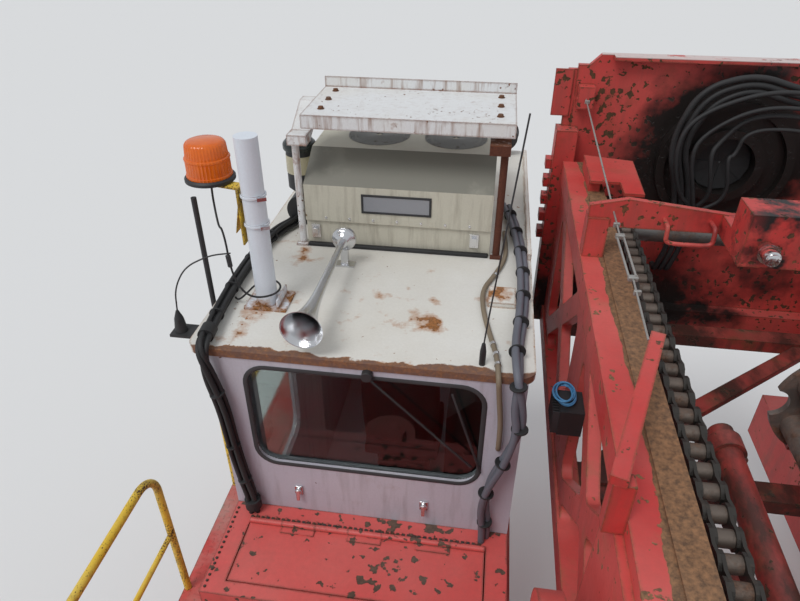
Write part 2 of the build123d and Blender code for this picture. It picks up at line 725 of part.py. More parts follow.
def feed_chain():
    """Right feed chain, a closed loop of two plate rows with the row of rollers sunk between them."""
    y0, y1 = CHAIN_ENDS
    z = CHAIN_Z - SPROCKET_R
    high, low = SPROCKET_R + CHAIN_H / 2, SPROCKET_R - CHAIN_H / 2
    band = belt(CHAIN_X, CHAIN_W, y0, y1, z, high, low)
    return band - belt(CHAIN_X, CHAIN_W - 2 * CHAIN_PLATE, y0, y1, z, high + 1, high - CHAIN_H / 4)


def feed_sprockets(y):
    """Pair of toothed chain wheels on one shaft."""
    z = CHAIN_Z - SPROCKET_R
    rim = SPROCKET_R - CHAIN_H / 2 - FIT
    disc = rod_x(CHAIN_X - SPROCKET_W / 2, CHAIN_X + SPROCKET_W / 2, y, z, rim)
    holes = []
    for i in range(SPROCKET_TEETH // 2):
        angle = 4 * math.pi * i / SPROCKET_TEETH
        holes.append(rod_x(CHAIN_X - SPROCKET_W, CHAIN_X + SPROCKET_W, y + rim * 0.68 * math.cos(angle),
                           z + rim * 0.68 * math.sin(angle), rim / 7))
    shaft = rod_x(-CHAIN_X - 90, CHAIN_X + 90, y, z, CHAIN_SHAFT_R)
    return fuse(both(disc.cut(*holes)) + [shaft])


def sprocket_brackets(y):
    """Bearing plates of one sprocket shaft, between it and the mast's top chords."""
    z = CHAIN_Z - SPROCKET_R
    plate = box(CHAIN_X + 60, BRACE_IN - GAP, y - 90, y + 90, z - 90, MAST_TOP - TOP_CHORD_H)
    return both(plate - rod_x(CHAIN_X, MAST_HALF, y, z, CHAIN_SHAFT_R + FIT))


def rotary_head():
    """Rotary head: gearbox, two motors, spindle and the carriage on the top chords' rails."""
    y0, y1 = HEAD_Y, HEAD_Y + HEAD_L
    deck_low, deck_high = HEAD_DECK
    case = box(-HEAD_HALF, HEAD_HALF, y0 + 200, y1 - 150, DRILL_Z - HEAD_UNDER, DRILL_Z + HEAD_TOP)
    case = fillet(case.edges().filter_by(Axis.Y), 60)
    deck = box(-HEAD_DECK_HALF, HEAD_DECK_HALF, y0 + 100, y1 - 50, deck_low, deck_high)
    for s in (-1, 1):
        middle = s * (HEAD_HALF + HEAD_DECK_HALF) / 2
        deck -= box(middle - 130, middle + 130, y0 + 300, y1 - 250, deck_low - 1, deck_high + 1)
    shoes = both(box(MAST_HALF - TOP_CHORD_W + 5, HEAD_DECK_HALF, y0 + 100, y1 - 50,
                     MAST_TOP + RAIL_STRIP_T + FIT, MAST_TOP + 60))
    spindle = turned_y(0, DRILL_Z, [(0, y1 - 200), (SPINDLE_FLANGE_R, y1 - 200), (SPINDLE_FLANGE_R, y1 - 90),
                                    (SPINDLE_R, y1 - 90), (SPINDLE_R, y1 + 180), (SPINDLE_R - 30, y1 + 250),
                                    (0, y1 + 250)])
    motors = []
    for x in (-MOTOR_X, MOTOR_X):
        motors += [rod_y(x, y0, y0 + 250, DRILL_Z + 60, MOTOR_R),
                   rod_y(x, y0 + 150, y0 + 190, DRILL_Z + 60, MOTOR_R + 25)]
    swivel = rod_y(0, y0 + 60, y0 + 250, DRILL_Z - 120, 70)
    return fuse([case, deck, spindle, swivel] + shoes + motors)


def carousel():
    """Rod carousel: two notched discs on a shaft, with the drill rods in their cups."""
    y0, y1 = CAROUSEL_ENDS
    shaft = rod_y(CAROUSEL_X, y0 - 120, y1 + 120, CAROUSEL_Z, CAROUSEL_SHAFT_R)
    angles = [2 * math.pi * i / PIPE_COUNT for i in range(PIPE_COUNT)]
    discs = []
    for y in (y0, y1 - CAROUSEL_T):
        disc = rod_y(CAROUSEL_X, y, y + CAROUSEL_T, CAROUSEL_Z, CAROUSEL_R)
        half_step = math.pi / PIPE_COUNT
        between = [rod_y(CAROUSEL_X + CAROUSEL_R * math.cos(a + half_step), y - 1, y + CAROUSEL_T + 1,
                         CAROUSEL_Z + CAROUSEL_R * math.sin(a + half_step), CAROUSEL_R / 4)
                   for a in angles]
        discs.append(disc.cut(*between))
    pipes = [rod_y(CAROUSEL_X + CAROUSEL_PITCH_R * math.cos(a), y0 + CAROUSEL_T, y1 - CAROUSEL_T,
                   CAROUSEL_Z + CAROUSEL_PITCH_R * math.sin(a), PIPE_R) for a in angles]
    return fuse([shaft] + discs + pipes)


def carousel_brackets():
    """Bearing plates of the carousel shaft, on the mast's lower face."""
    plates = []
    y0, y1 = CAROUSEL_ENDS
    foot, head = MAST_LOW + LOW_CHORD_H, CAROUSEL_Z + 90
    for y in (y0 - 100, y1 + 60):
        outline = [(CAROUSEL_X - 90, foot), (BRACE_IN - GAP, foot), (BRACE_IN - GAP, head - 150),
                   (CAROUSEL_X + 90, head), (CAROUSEL_X - 90, head)]
        plate = plate_y(y, y + 40, outline)
        plates.append(plate - rod_y(CAROUSEL_X, y - 10, y + 50, CAROUSEL_Z, CAROUSEL_SHAFT_R + FIT))
    return plates


def feed_cylinder():
    """Feed cylinder along the mast, on saddles on two of the lower face's cross members."""
    y0, y1 = FEED_ENDS
    barrel = rod_y(FEED_X, y0, y1, FEED_Z, FEED_R)
    glands = [rod_y(FEED_X, y, y + 90, FEED_Z, FEED_GLAND_R) for y in (y0 + 60, y1 - 150)]
    half = FEED_SADDLE / 2
    saddles = [box(FEED_X - half, FEED_X + half, y - 50, y + 50, MAST_LOW + FACE_TOP, FEED_Z)
               for y in (post_y(1), post_y(PANELS - 1))]
    return fuse([barrel] + glands + saddles)


def tower():
    """Right tower of the mast pivot, a tapered plate on the rail with a lightening hole."""
    half = TOWER_FOOT / 2
    outline = [(PIVOT_Y - half, DECK_Z), (PIVOT_Y + half - TOWER_LEAN, DECK_Z),
               (PIVOT_Y + TOWER_HEAD_R, PIVOT_Z), (PIVOT_Y - TOWER_HEAD_R, PIVOT_Z)]
    plate = plate_x(RAIL_IN, RAIL_IN + TOWER_T, outline)
    plate -= rod_x(RAIL_IN - 1, RAIL_IN + TOWER_T + 1, PIVOT_Y - 60, (DECK_Z + PIVOT_Z) / 2, TOWER_HOLE_R)
    head = rod_x(RAIL_IN, RAIL_IN + TOWER_T, PIVOT_Y, PIVOT_Z, TOWER_HEAD_R)
    bore = rod_x(RAIL_IN - 1, RAIL_IN + TOWER_T + 1, PIVOT_Y, PIVOT_Z, PIVOT_R + FIT)
    return fuse([plate, head]) - bore


def lift_bracket():
    """Two ears on the right rail that hold the lift cylinder's base pin."""
    y, z = LIFT_BASE
    foot, head, rise = 170, 70, 80
    outline = [(y - foot, DECK_Z), (y + foot, DECK_Z), (y + head, z + rise), (y - head, z + rise)]
    inner, outer = LIFT_X - EYE_W / 2 - GAP - LUG_T, LIFT_X + EYE_W / 2 + GAP
    parts = [plate_x(x, x + LUG_T, outline) for x in (inner, outer)]
    return fuse(parts + [rod_x(inner, outer + LUG_T, y, z, PIN_R)])


def lift_cylinder():
    """Barrel and rod of the right lift cylinder, at its shortest."""
    (y0, z0), (y1, z1) = LIFT_BASE, LIFT_LUG
    length = math.hypot(y1 - y0, z1 - z0)
    angle = math.degrees(math.atan2(z1 - z0, y1 - y0))
    half = EYE_W / 2
    mouth = length - 330
    eye = rod_x(-half, half, 0, 0, EYE_R) - rod_x(-EYE_W, EYE_W, 0, 0, PIN_R + FIT)
    neck = box(-half, half, EYE_R - 20, 240, -60, 60)
    tube_solid = fuse([rod_y(0, 220, mouth, 0, BARREL_R), rod_y(0, mouth - 110, mouth, 0, GLAND_R)])
    barrel = fuse([eye, neck, tube_solid - rod_y(0, 300, length, 0, ROD_R + FIT)])
    rod = rod_y(0, 320, length - EYE_R + 12, 0, ROD_R)
    rod_eye = rod_x(-half, half, length, 0, EYE_R) - rod_x(-EYE_W, EYE_W, length, 0, PIN_R + FIT)
    place = Pos(LIFT_X, y0, z0) * Rot(angle, 0, 0)
    return place * barrel, place * fuse([rod, rod_eye])


def chord_fittings():
    """Wrench arm, notched tag plate, trip lever and work lamp on the left side of the mast."""
    chord_x = -MAST_HALF + (TOP_CHORD_W - RAIL_STRIP_W) / 2
    stand = box(chord_x - 45, chord_x + 45, ARM_Y - 40, ARM_Y + 40, MAST_TOP, ARM_Z + 40)
    (x0, x1), (y0, y1) = WRENCH_X, WRENCH_Y
    arm = plate_y(ARM_Y - ARM_T, ARM_Y, [(chord_x - 45, ARM_Z), (x0 + 40, ARM_Z), (x0 + 40, ARM_Z + 85),
                                         (chord_x + 110, ARM_Z + 130), (chord_x - 45, ARM_Z + 95)])
    knee = box(x0, x0 + 60, y1 - 1, ARM_Y, ARM_Z, ARM_Z + 85)
    jaw = box(x0, x1, y0, y1, ARM_Z, ARM_Z + WRENCH_H)
    jaw -= rod_y((x0 + x1) / 2 + 50, y0 - 1, y1 + 1, ARM_Z - 20, 130)
    pin = rod_y(x0 + 75, y0 - 70, y0 + 1, ARM_Z + 85, 26)
    wrench = fuse([stand, arm, knee, jaw, pin])
    tag = [(-800, 5080), (-540, 5020), (-550, 4560), (-650, 4560), (-650, 4700), (-800, 4700)]
    outline = Polyline([(x, y, TAG_Z) for x, y in tag], close=True)
    plate = extrude(make_face(outline), amount=15, dir=(0, 0, 1))
    tag_plate = fuse([plate, box(-800, -740, 4740, 5060, MAST_TOP, TAG_Z + 1)])
    (ox, oy), (ix, iy) = LEVER_OUT, LEVER_IN
    length, angle = math.hypot(ix - ox, iy - oy), math.degrees(math.atan2(iy - oy, ix - ox))
    bar = Pos((ox + ix) / 2, (oy + iy) / 2, LEVER_Z + LEVER_T / 2) * Rot(0, 0, angle)
    lever = fuse([bar * Box(length + LEVER_W, LEVER_W, LEVER_T),
                  box(-MAST_HALF - 60, -MAST_HALF, oy - LEVER_W / 2, oy + LEVER_W / 2,
                      MAST_TOP - 55, LEVER_Z + 1)])
    lamp_y, lamp_z = MAST_LAMP
    lamp = box(-BRACE_OUT - 95, -BRACE_OUT - FIT, lamp_y - 65, lamp_y + 65, lamp_z - 60, lamp_z + 60)
    return [wrench, tag_plate, lever, lamp]


def mast_hoses():
    """Three hoses that arch from the foot's lower fittings over the bushing to its right side."""
    hoses = []
    for i in range(3):
        x, z = i * HOSE_STEP, -i * HOSE_STEP
        y = FOOT_Y - BUSHING_LIP - 3 * HOSE_R - 20
        points = [(x - 240, FOOT_Y, 2760), (x - 240, FOOT_Y - 75, 2760), (x - 210, y, 2980),
                  (x - 240, y, 3290), (x - 345, y, 3600), (x - 250, y, 3900 + z), (0, y, 3985 + z),
                  (300, y, 3900 + z),
                  (600, y + 10, 3880 + z), (600, FOOT_Y, 3880 + z)]
        hoses.append(tube(points, HOSE_R))
    return hoses


def deck():
    """Right deck plate beside the rail, with the holes that the jack casings pass through."""
    plate = box(RAIL_OUT, HALF_WIDTH, DECK_BACK, DECK_FRONT, DECK_UNDER, DECK_Z)
    for y in JACK_YS:
        plate -= rod_z(JACK_X, y, DECK_UNDER - 1, DECK_Z + 1, JACK_R + GAP)
    return plate


def handrail(x, runs):
    """Tube handrails of a walkway's outer edge: for each run two bent end posts, the top rail between
    them, the posts under it and the middle rail between the posts."""
    tubes = []
    for y0, y1 in runs:
        top, middle = DECK_Z + RAIL_H_TOP, DECK_Z + RAIL_H_MID
        for end, side in ((y0, 1), (y1, -1)):
            path = FilletPolyline((x, end, DECK_Z), (x, end, top), (x, end + side * 1.5 * RAIL_BEND, top),
                                  radius=RAIL_BEND)
            tubes.append(sweep(Plane(origin=path @ 0, z_dir=path % 0) * Circle(RAIL_TUBE_R), path=path))
        tubes.append(rod_y(x, y0 + 1.5 * RAIL_BEND + FIT, y1 - 1.5 * RAIL_BEND - FIT, top, RAIL_TUBE_R))
        count = max(1, round((y1 - y0) / RAIL_POST_STEP))
        ys = [y0 + i * (y1 - y0) / count for i in range(count + 1)]
        tubes += [rod_z(x, y, DECK_Z, top - RAIL_TUBE_R - FIT, RAIL_TUBE_R) for y in ys[1:-1]]
        tubes += [rod_y(x, a + RAIL_TUBE_R + FIT, b - RAIL_TUBE_R - FIT, middle, RAIL_MID_R)
                  for a, b in zip(ys, ys[1:])]
    return tubes


def ladder(x):
    """Hanging access ladder at the edge of the left deck."""
    y0, y1 = LADDER_YS
    parts = [box(x - 60, x, y - 20, y + 20, LADDER_LOW, DECK_UNDER) for y in (y0, y1)]
    parts += [box(x - 55, x - 5, y0, y1, z - 15, z + 15) for z in LADDER_STEPS]
    return fuse(parts)


def window_cut(x0, x1, y0, y1, z0, z1, axis):
    """Rounded block that cuts a window through a wall whose normal is the given axis."""
    block = box(x0, x1, y0, y1, z0, z1)
    return fillet(block.edges().filter_by(axis), WINDOW_R)


def pane_y(window, y, depth):
    """Rounded pane of a window in a wall across Y, as thick as the given depth."""
    return window_cut(window[0], window[1], y, y + depth, window[2], window[3], Axis.Y)


def pane_x(window, x, depth):
    """Rounded pane of a window in a wall across X, as thick as the given depth."""
    return window_cut(x, x + depth, window[0], window[1], window[2], window[3], Axis.X)


def cab():
    """Panels of the cab, as a dictionary from node name to solids."""
    z0, z1 = DECK_Z + CAB_FLOOR_T, ROOF_Z - ROOF_T
    through = WALL_T + 100
    floor = box(CAB_LEFT, CAB_RIGHT, CAB_NEAR, CAB_FAR, DECK_Z, z0)
    roof = box(ROOF_LEFT, ROOF_RIGHT, ROOF_NEAR, ROOF_FAR, z1, ROOF_Z)
    roof = fillet(roof.edges().filter_by(Axis.Z), ROOF_ROUND)
    lip = box(ROOF_RIGHT - 20, ROOF_RIGHT, AC_NEAR, ROOF_FAR - ROOF_ROUND, ROOF_Z - 1, ROOF_Z + 30)
    pad = box(ROOF_RIGHT - 190, ROOF_RIGHT - 75, 3750, 3880, ROOF_Z - 1, ROOF_Z + 22)
    near_window = (CAB_LEFT + 134, CAB_RIGHT - 150, SILL_Z, HEAD_Z)
    near = box(CAB_LEFT, CAB_RIGHT, CAB_NEAR, CAB_NEAR + WALL_T, z0, z1)
    near -= pane_y(near_window, CAB_NEAR - 50, through)
    far_window = (CAB_LEFT + 110, CAB_RIGHT - 110, LOW_SILL_Z, HEAD_Z)
    far = box(CAB_LEFT, CAB_RIGHT, CAB_FAR - WALL_T, CAB_FAR, z0, z1)
    far -= pane_y(far_window, CAB_FAR - WALL_T - 50, through)
    right_window = (CAB_NEAR + 1000, CAB_FAR - 160, LOW_SILL_Z, HEAD_Z)
    right = box(CAB_RIGHT - WALL_T, CAB_RIGHT, CAB_NEAR + WALL_T, CAB_FAR - WALL_T, z0, z1)
    right -= pane_x(right_window, CAB_RIGHT - WALL_T - 50, through)
    left_window = (DOOR_FAR + 160, CAB_FAR - 160, LOW_SILL_Z + 250, HEAD_Z)
    left = box(CAB_LEFT, CAB_LEFT + WALL_T, CAB_NEAR + WALL_T, CAB_FAR - WALL_T, z0, z1)
    left -= box(CAB_LEFT - 50, CAB_LEFT + WALL_T + 50, DOOR_NEAR - GAP, DOOR_FAR + GAP, DOOR_BOTTOM - GAP,
                DOOR_TOP + GAP)
    left -= pane_x(left_window, CAB_LEFT - 50, through)
    door_window = (DOOR_NEAR + DOOR_FRAME, DOOR_FAR - DOOR_FRAME, LOW_SILL_Z + 100, DOOR_TOP - DOOR_FRAME)
    door = box(CAB_LEFT, CAB_LEFT + WALL_T, DOOR_NEAR, DOOR_FAR, DOOR_BOTTOM, DOOR_TOP)
    door -= pane_x(door_window, CAB_LEFT - 50, through)
    hinge_x, hinge_y = CAB_LEFT - DOOR_HINGE_R, DOOR_FAR + 15
    for z in KNUCKLE_ZS:
        leaf = box(CAB_LEFT - 8, CAB_LEFT, hinge_y, hinge_y + 70, z, z + KNUCKLE_H)
        left = fuse([left, rod_z(hinge_x, hinge_y, z, z + KNUCKLE_H, DOOR_HINGE_R), leaf])
        z += KNUCKLE_H + FIT
        leaf = box(CAB_LEFT - 8, CAB_LEFT, hinge_y - 90, hinge_y, z, z + KNUCKLE_H)
        door = fuse([door, rod_z(hinge_x, hinge_y, z, z + KNUCKLE_H, DOOR_HINGE_R), leaf])
    inset = (WALL_T - GLASS_T) / 2
    glass = [pane_y(near_window, CAB_NEAR + inset, GLASS_T),
             pane_y(far_window, CAB_FAR - WALL_T + inset, GLASS_T),
             pane_x(right_window, CAB_RIGHT - WALL_T + inset, GLASS_T),
             pane_x(left_window, CAB_LEFT + inset, GLASS_T)]
    return {"cab_floor": [floor], "cab_roof": [fuse([roof, lip, pad])], "cab_wall_near": [near],
            "cab_wall_far": [far], "cab_wall_right": [right], "cab_wall_left": [left], "cab_door": [door],
            "cab_glass": glass, "cab_door_glass": [pane_x(door_window, CAB_LEFT + inset, GLASS_T)]}


def cab_inside():
    """Seat and drill console in the cab."""
    x, y = (CAB_LEFT + CAB_RIGHT) / 2, CAB_NEAR + 1150
    z0 = DECK_Z + CAB_FLOOR_T
    base = box(x - 170, x + 170, y - 100, y + 250, z0, z0 + 330)
    cushion = box(x - 260, x + 260, y - 200, y + 330, z0 + 330, z0 + 460)
    cushion = fillet(cushion.edges().filter_by(Axis.Z), 50)
    back = plate_x(x - 250, x + 250, [(y - 190, z0 + 440), (y - 70, z0 + 440), (y - 150, z0 + 1100),
                                      (y - 260, z0 + 1100)])
    wall = CAB_RIGHT - WALL_T - 10
    console = plate_y(y - 150, y + 850, [(wall - 280, z0), (wall, z0), (wall, z0 + 860),
                                         (wall - 120, z0 + 860), (wall - 280, z0 + 700)])
    return fuse([base, cushion, back]), console


def aircon():
    """Rooftop unit with a sloped front and two fan openings, and the blower beside it."""
    x0, x1 = AC_X
    top = ROOF_Z + AC_TOP_H
    split = ROOF_Z + AC_SPLIT
    outline = [(AC_NEAR + AC_SET, ROOF_Z), (AC_NEAR + AC_SET, split), (AC_NEAR, split),
               (AC_NEAR, ROOF_Z + AC_FRONT_H), (AC_NEAR + AC_SLOPE, top), (AC_FAR, top), (AC_FAR, ROOF_Z)]
    body = plate_x(x0, x1, outline)
    for x in FAN_XS:
        body -= rod_z(x, FAN_Y, top - FAN_DEPTH, top + 1, FAN_R)
        half, reach, low = FAN_WIRE / 2, FAN_R + 1, top - FAN_WIRE
        wires = [box(x - reach, x + reach, FAN_Y - half, FAN_Y + half, low, top),
                 box(x - half, x + half, FAN_Y - reach, FAN_Y + reach, low, top)]
        for r in FAN_RINGS:
            ring = rod_z(x, FAN_Y, low, top, r)
            wires.append(ring - rod_z(x, FAN_Y, low - FAN_WIRE, top + 1, r - FAN_WIRE))
        body = fuse([body] + wires)
    z = ROOF_Z + BLOWER_R + FIT
    y0, y1 = BLOWER_Y
    blower = rod_y(BLOWER_X, y0, y1, z, BLOWER_R)
    y = (y0 + y1) / 2
    rim, lid = CLEANER_R + 8, CLEANER_TOP - 50
    cleaner = turned_z(BLOWER_X, y, [(0, z), (40, z), (40, z + 90), (CLEANER_R, z + 120), (CLEANER_R, lid),
                                     (rim, lid), (rim, lid + 20), (45, CLEANER_TOP), (0, CLEANER_TOP)])
    return body, fuse([blower, cleaner])


def guard():
    """Shelf on two posts over the rooftop unit, with a lip down in front and up behind."""
    (x0, x1), (y0, y1) = SHELF_X, SHELF_Y
    shelf = box(x0, x1, y0, y1, SHELF_Z, SHELF_Z + SHELF_T)
    front = box(x0, x1, y0, y0 + SHELF_T, SHELF_Z - SHELF_LIP, SHELF_Z + SHELF_T)
    rear = box(x0, x1, y1 - SHELF_T, y1, SHELF_Z, SHELF_Z + SHELF_LIP)
    parts = [shelf, front, rear]
    for x, side in zip(GUARD_XS, (1, -1)):
        parts.append(rod_z(x, GUARD_Y, ROOF_Z, GUARD_POST_TOP, GUARD_POST_R))
        parts.append(box(x - 28, x + 28, GUARD_Y - 35, GUARD_Y - 25 + GUARD_POST_R, ROOF_Z, ROOF_Z + 10))
        a, b = sorted((x - side * ARM_W / 4, x + side * ARM_W * 0.75))
        parts.append(box(a, b, GUARD_Y - 50, GUARD_Y + 30, GUARD_POST_TOP - 1, GUARD_POST_TOP + 45))
        arm_foot, arm_head = GUARD_POST_TOP + 30, SHELF_Z
        parts.append(plate_x(a, b, [(GUARD_Y + 10, arm_foot), (GUARD_Y + 30, arm_foot - 20),
                                    (GUARD_Y + 260, arm_head - 10), (GUARD_Y + 260, arm_head + 1),
                                    (GUARD_Y + 200, arm_head + 1)]))
    return fuse(parts)


def roof_tube():
    """White tube on its base plate, with two clamp rings."""
    post = rod_z(TUBE_X, TUBE_Y, ROOF_Z, TUBE_TOP, TUBE_R)
    base = box(TUBE_X - 85, TUBE_X + 95, TUBE_Y - 60, TUBE_Y + 90, ROOF_Z, ROOF_Z + 10)
    angle = box(TUBE_X + 55, TUBE_X + 62, TUBE_Y - 50, TUBE_Y + 80, ROOF_Z, ROOF_Z + 50)
    rings = [rod_z(TUBE_X, TUBE_Y, z - 4, z + 4, TUBE_R + 6) for z in CLAMP_ZS]
    return fuse([post, base, angle] + rings)


def beacon():
    """Amber beacon on its rim, with the bracket that the tube's clamps hold."""
    z = BEACON_Z
    top = z + BEACON_RIM_H + LENS_H
    lamp = turned_z(BEACON_X, BEACON_Y,
                    [(0, z), (BEACON_RIM_R, z), (BEACON_RIM_R, z + 6), (LENS_R, z + BEACON_RIM_H),
                     (LENS_TOP_R, top - 18), (LENS_TOP_R - 16, top), (0, top)])
    edge = TUBE_X - TUBE_R - 6 - FIT
    strap = box(edge - 35, edge, TUBE_Y - 30, TUBE_Y + 30, CLAMP_ZS[0] - 90, z - 8)
    arm = box(BEACON_X - 20, edge, TUBE_Y - 30, BEACON_Y + 20, z - 8, z)
    return fuse([lamp, strap, arm])


def horn():
    """Air horn: drum, long tapered trumpet and open bell on two feet."""
    outer = [(12, 0.0), (15, 0.45), (22, 0.72), (34, 0.88), (54, 0.965), (82, 1.0)]
    length = HORN_DRUM_Y - HORN_BELL_Y
    skin = [(r, HORN_DRUM_Y - share * length) for r, share in outer]
    hollow = [(r - HORN_WALL, y) for r, y in skin[2:]]
    trumpet = turned_y(HORN_X, HORN_Z, [(0, HORN_DRUM_Y)] + skin + hollow[::-1] + [(0, skin[2][1])])
    drum_y, drum_end = HORN_DRUM_Y, HORN_DRUM_Y + HORN_DRUM_L
    drum = turned_y(HORN_X, HORN_Z, [(0, drum_y - 15), (26, drum_y - 15), (HORN_DRUM_R - 12, drum_y),
                                     (HORN_DRUM_R, drum_y + 8), (HORN_DRUM_R, drum_end), (0, drum_end)])
    foot_y = HORN_DRUM_Y + HORN_DRUM_L / 2
    feet = [box(HORN_X - 20, HORN_X + 20, foot_y - 15, foot_y + 15, ROOF_Z, HORN_Z - HORN_DRUM_R / 2),
            box(HORN_X - 45, HORN_X + 45, foot_y - 25, foot_y + 25, ROOF_Z, ROOF_Z + 8)]
    return fuse([trumpet, drum] + feet)


def roof_hoses():
    """Hose bundle along the roof's left edge, grey conduits and tan hose along its right edge."""
    z = ROOF_Z + BUNDLE_R + FIT
    bundle = [(-2300, BLOWER_Y[0] - FIT, z), (-2300, 4340, z), (-2345, 4260, z), (-2374, 4130, z),
              (-2386, 3960, z), (-2388, 3760, z), (-2378, 3560, z), (-2362, 3400, z), (-2348, 3256, z + 6),
              (-2335, 3256, 3240), (-2304, 3264, 3060), (-2296, 3266, 2860), (-2276, 3266, 2660),
              (-2255, 3266, 2530),
              (-2255, 3266, HOOD_TOP)]
    z = ROOF_Z + CONDUIT_R + FIT
    conduit = [(-1218, 4700, z), (-1180, 4500, z), (-1154, 4290, z), (-1140, 4070, z), (-1138, 3850, z),
               (-1148, 3640, z), (-1168, 3440, z), (-1164, 3246, z + 4), (-1150, 3240, 3220),
               (-1136, 3236, 3120), (-1178, 3236, 2950), (-1230, 3240, 2800), (-1240, 3250, 2650),
               (-1222, 3262, 2530),
               (-1222, 3262, HOOD_TOP)]
    z = ROOF_Z + TAN_R + FIT
    tan = [(-1224, 4420, z), (-1215, 4300, z), (-1215, 4150, z), (-1262, 3990, z), (-1314, 3860, z),
           (-1304, 3700, z), (-1272, 3540, z), (-1240, 3400, z), (-1232, 3270, z + 6), (-1222, 3274, 3242),
           (-1206, 3280, 3110), (-1204, 3278, 3010), (-1203, CAB_NEAR - 30, 2950), (-1203, CAB_NEAR, 2950)]
    return [tube(bundle, BUNDLE_R), tube(conduit, CONDUIT_R), tube(tan, TAN_R)]


def antennas():
    """Two whips on their bases and the grey plastic rod at the roof's left edge."""
    base_x, base_y = -1294, 3362
    foot = turned_z(base_x, base_y, [(0, ROOF_Z), (12, ROOF_Z), (12, ROOF_Z + 60), (7, ROOF_Z + 95),
                                     (0, ROOF_Z + 95)])
    whip = tube([(base_x, base_y, ROOF_Z + 90), (base_x + 8, base_y + 10, ROOF_Z + 190),
                 (base_x + 77, base_y + 88, ROOF_Z + 912)], WHIP_R)
    left_x, left_y = -2490, 3402
    cup = turned_z(left_x, left_y, [(0, ROOF_Z), (WHIP_BASE_R, ROOF_Z), (WHIP_BASE_R - 8, ROOF_Z + 60),
                                    (6, ROOF_Z + 95), (0, ROOF_Z + 95)])
    shelf = box(left_x - 35, ROOF_LEFT - FIT, left_y - 35, left_y + 45, ROOF_Z - 12, ROOF_Z)
    bent = tube([(left_x, left_y, ROOF_Z + 90), (left_x + 5, left_y + 10, ROOF_Z + 190),
                 (left_x + 45, left_y + 45, ROOF_Z + 270), (left_x + 130, left_y + 95, ROOF_Z + 300),
                 (left_x + 195, left_y + 140, ROOF_Z + 290)], WHIP_R)
    stick_r = 11
    stick = rod_z(ROOF_LEFT - stick_r - FIT, TUBE_Y - 20, ROOF_Z - 90, ROOF_Z + 480, stick_r)
    return [fuse([foot, whip]), fuse([cup, shelf, bent]), stick]


def lamp(x, y, z, side):
    """Round work lamp on a foot; it faces along Y to the given side."""
    r, depth = 85, 95
    y0, y1 = sorted((y, y + side * depth))
    head = rod_y(x, y0, y1, z, r)
    rim_y = sorted((y + side * depth, y + side * (depth + 12)))
    rim = rod_y(x, rim_y[0], rim_y[1], z, r + 8)
    return fuse([head, rim, box(x - 20, x + 20, y0 + 25, y0 + 70, z - r - 35, z)])


def lamps():
    """Work lamps at the far edge of the cab roof and on the back ends of the frame rails."""
    foot = 85 + 35
    parts = [lamp(x, ROOF_FAR - 110, ROOF_Z + foot, 1) for x in (ROOF_LEFT + 150, ROOF_RIGHT - 150)]
    lamp_x = RAIL_IN + RAIL_W / 2
    return parts + both(lamp(lamp_x, RAIL_BACK + 130, DECK_Z + foot, -1))


def hood():
    """Hood box in front of the cab, its lid's opening and the lid."""
    y1 = CAB_NEAR - 2
    body = box(CAB_LEFT, CAB_RIGHT, HOOD_BACK, y1, DECK_Z, HOOD_TOP)
    body -= box(CAB_LEFT + HOOD_T, CAB_RIGHT - HOOD_T, HOOD_BACK + HOOD_T, y1 - HOOD_T,
                DECK_Z + HOOD_T, HOOD_TOP - HOOD_T)
    hole = (CAB_LEFT + LID_BORDER, CAB_RIGHT - LID_BORDER, HOOD_BACK + LID_EDGE, y1 - LID_GAP)
    body -= box(hole[0], hole[1], hole[2], hole[3], HOOD_TOP - HOOD_T - 1, HOOD_TOP + 1)
    lid = box(hole[0] + GAP, hole[1] - GAP, hole[2] + GAP, hole[3] - GAP, HOOD_TOP - LID_T, HOOD_TOP)
    hinge_y, hinge_z = hole[3], HOOD_TOP + LID_HINGE_R
    step = (hole[1] - hole[0] - 2 * GAP) / LID_KNUCKLES
    for i in range(LID_KNUCKLES):
        x0 = hole[0] + GAP + i * step
        x1 = x0 + step - FIT
        knuckle = rod_x(x0, x1, hinge_y, hinge_z, LID_HINGE_R)
        if i % 2:
            lid = fuse([lid, knuckle, box(x0, x1, hinge_y - 2 * LID_LEAF, hinge_y, HOOD_TOP, HOOD_TOP + 5)])
        else:
            body = fuse([body, knuckle, box(x0, x1, hinge_y, hinge_y + LID_LEAF, HOOD_TOP, HOOD_TOP + 5)])
    return body, lid


def engine():
    """Open engine: block drawn in at its sump, two banks of heads, flywheel housing, filters, air box."""
    y0, y1 = ENGINE_Y
    half, sump_half = ENGINE_HALF, ENGINE_HALF - 60
    block = plate_y(y0, y1, [(-sump_half, CROSS_TOP), (sump_half, CROSS_TOP), (sump_half, CROSS_TOP + 130),
                             (half, CROSS_TOP + 160), (half, 1700), (half - 80, 1950), (80 - half, 1950),
                             (-half, 1700), (-half, CROSS_TOP + 160), (-sump_half, CROSS_TOP + 130)])
    bell = rod_y(0, y1 - 1, y1 + 120, SCREW_Z, 290)
    parts = [block, bell]
    for s in (-1, 1):
        x = s * 185
        for i in range(3):
            y = y0 + 60 + i * 420
            parts.append(box(x - 105, x + 105, y, y + 370, 1949, ENGINE_TOP - 20))
        low, high = sorted((s * half, s * (half + 70)))
        parts.append(box(low, high, y0 + 150, y1 - 150, 1560, 1650))
        parts += [rod_z(s * (half + 55), y0 + 250 + i * 150, 1320, 1561, 50) for i in range(2)]
    parts.append(box(-60, 60, y0 + 120, y1 - 120, 1949, ENGINE_TOP))
    return fuse(parts)


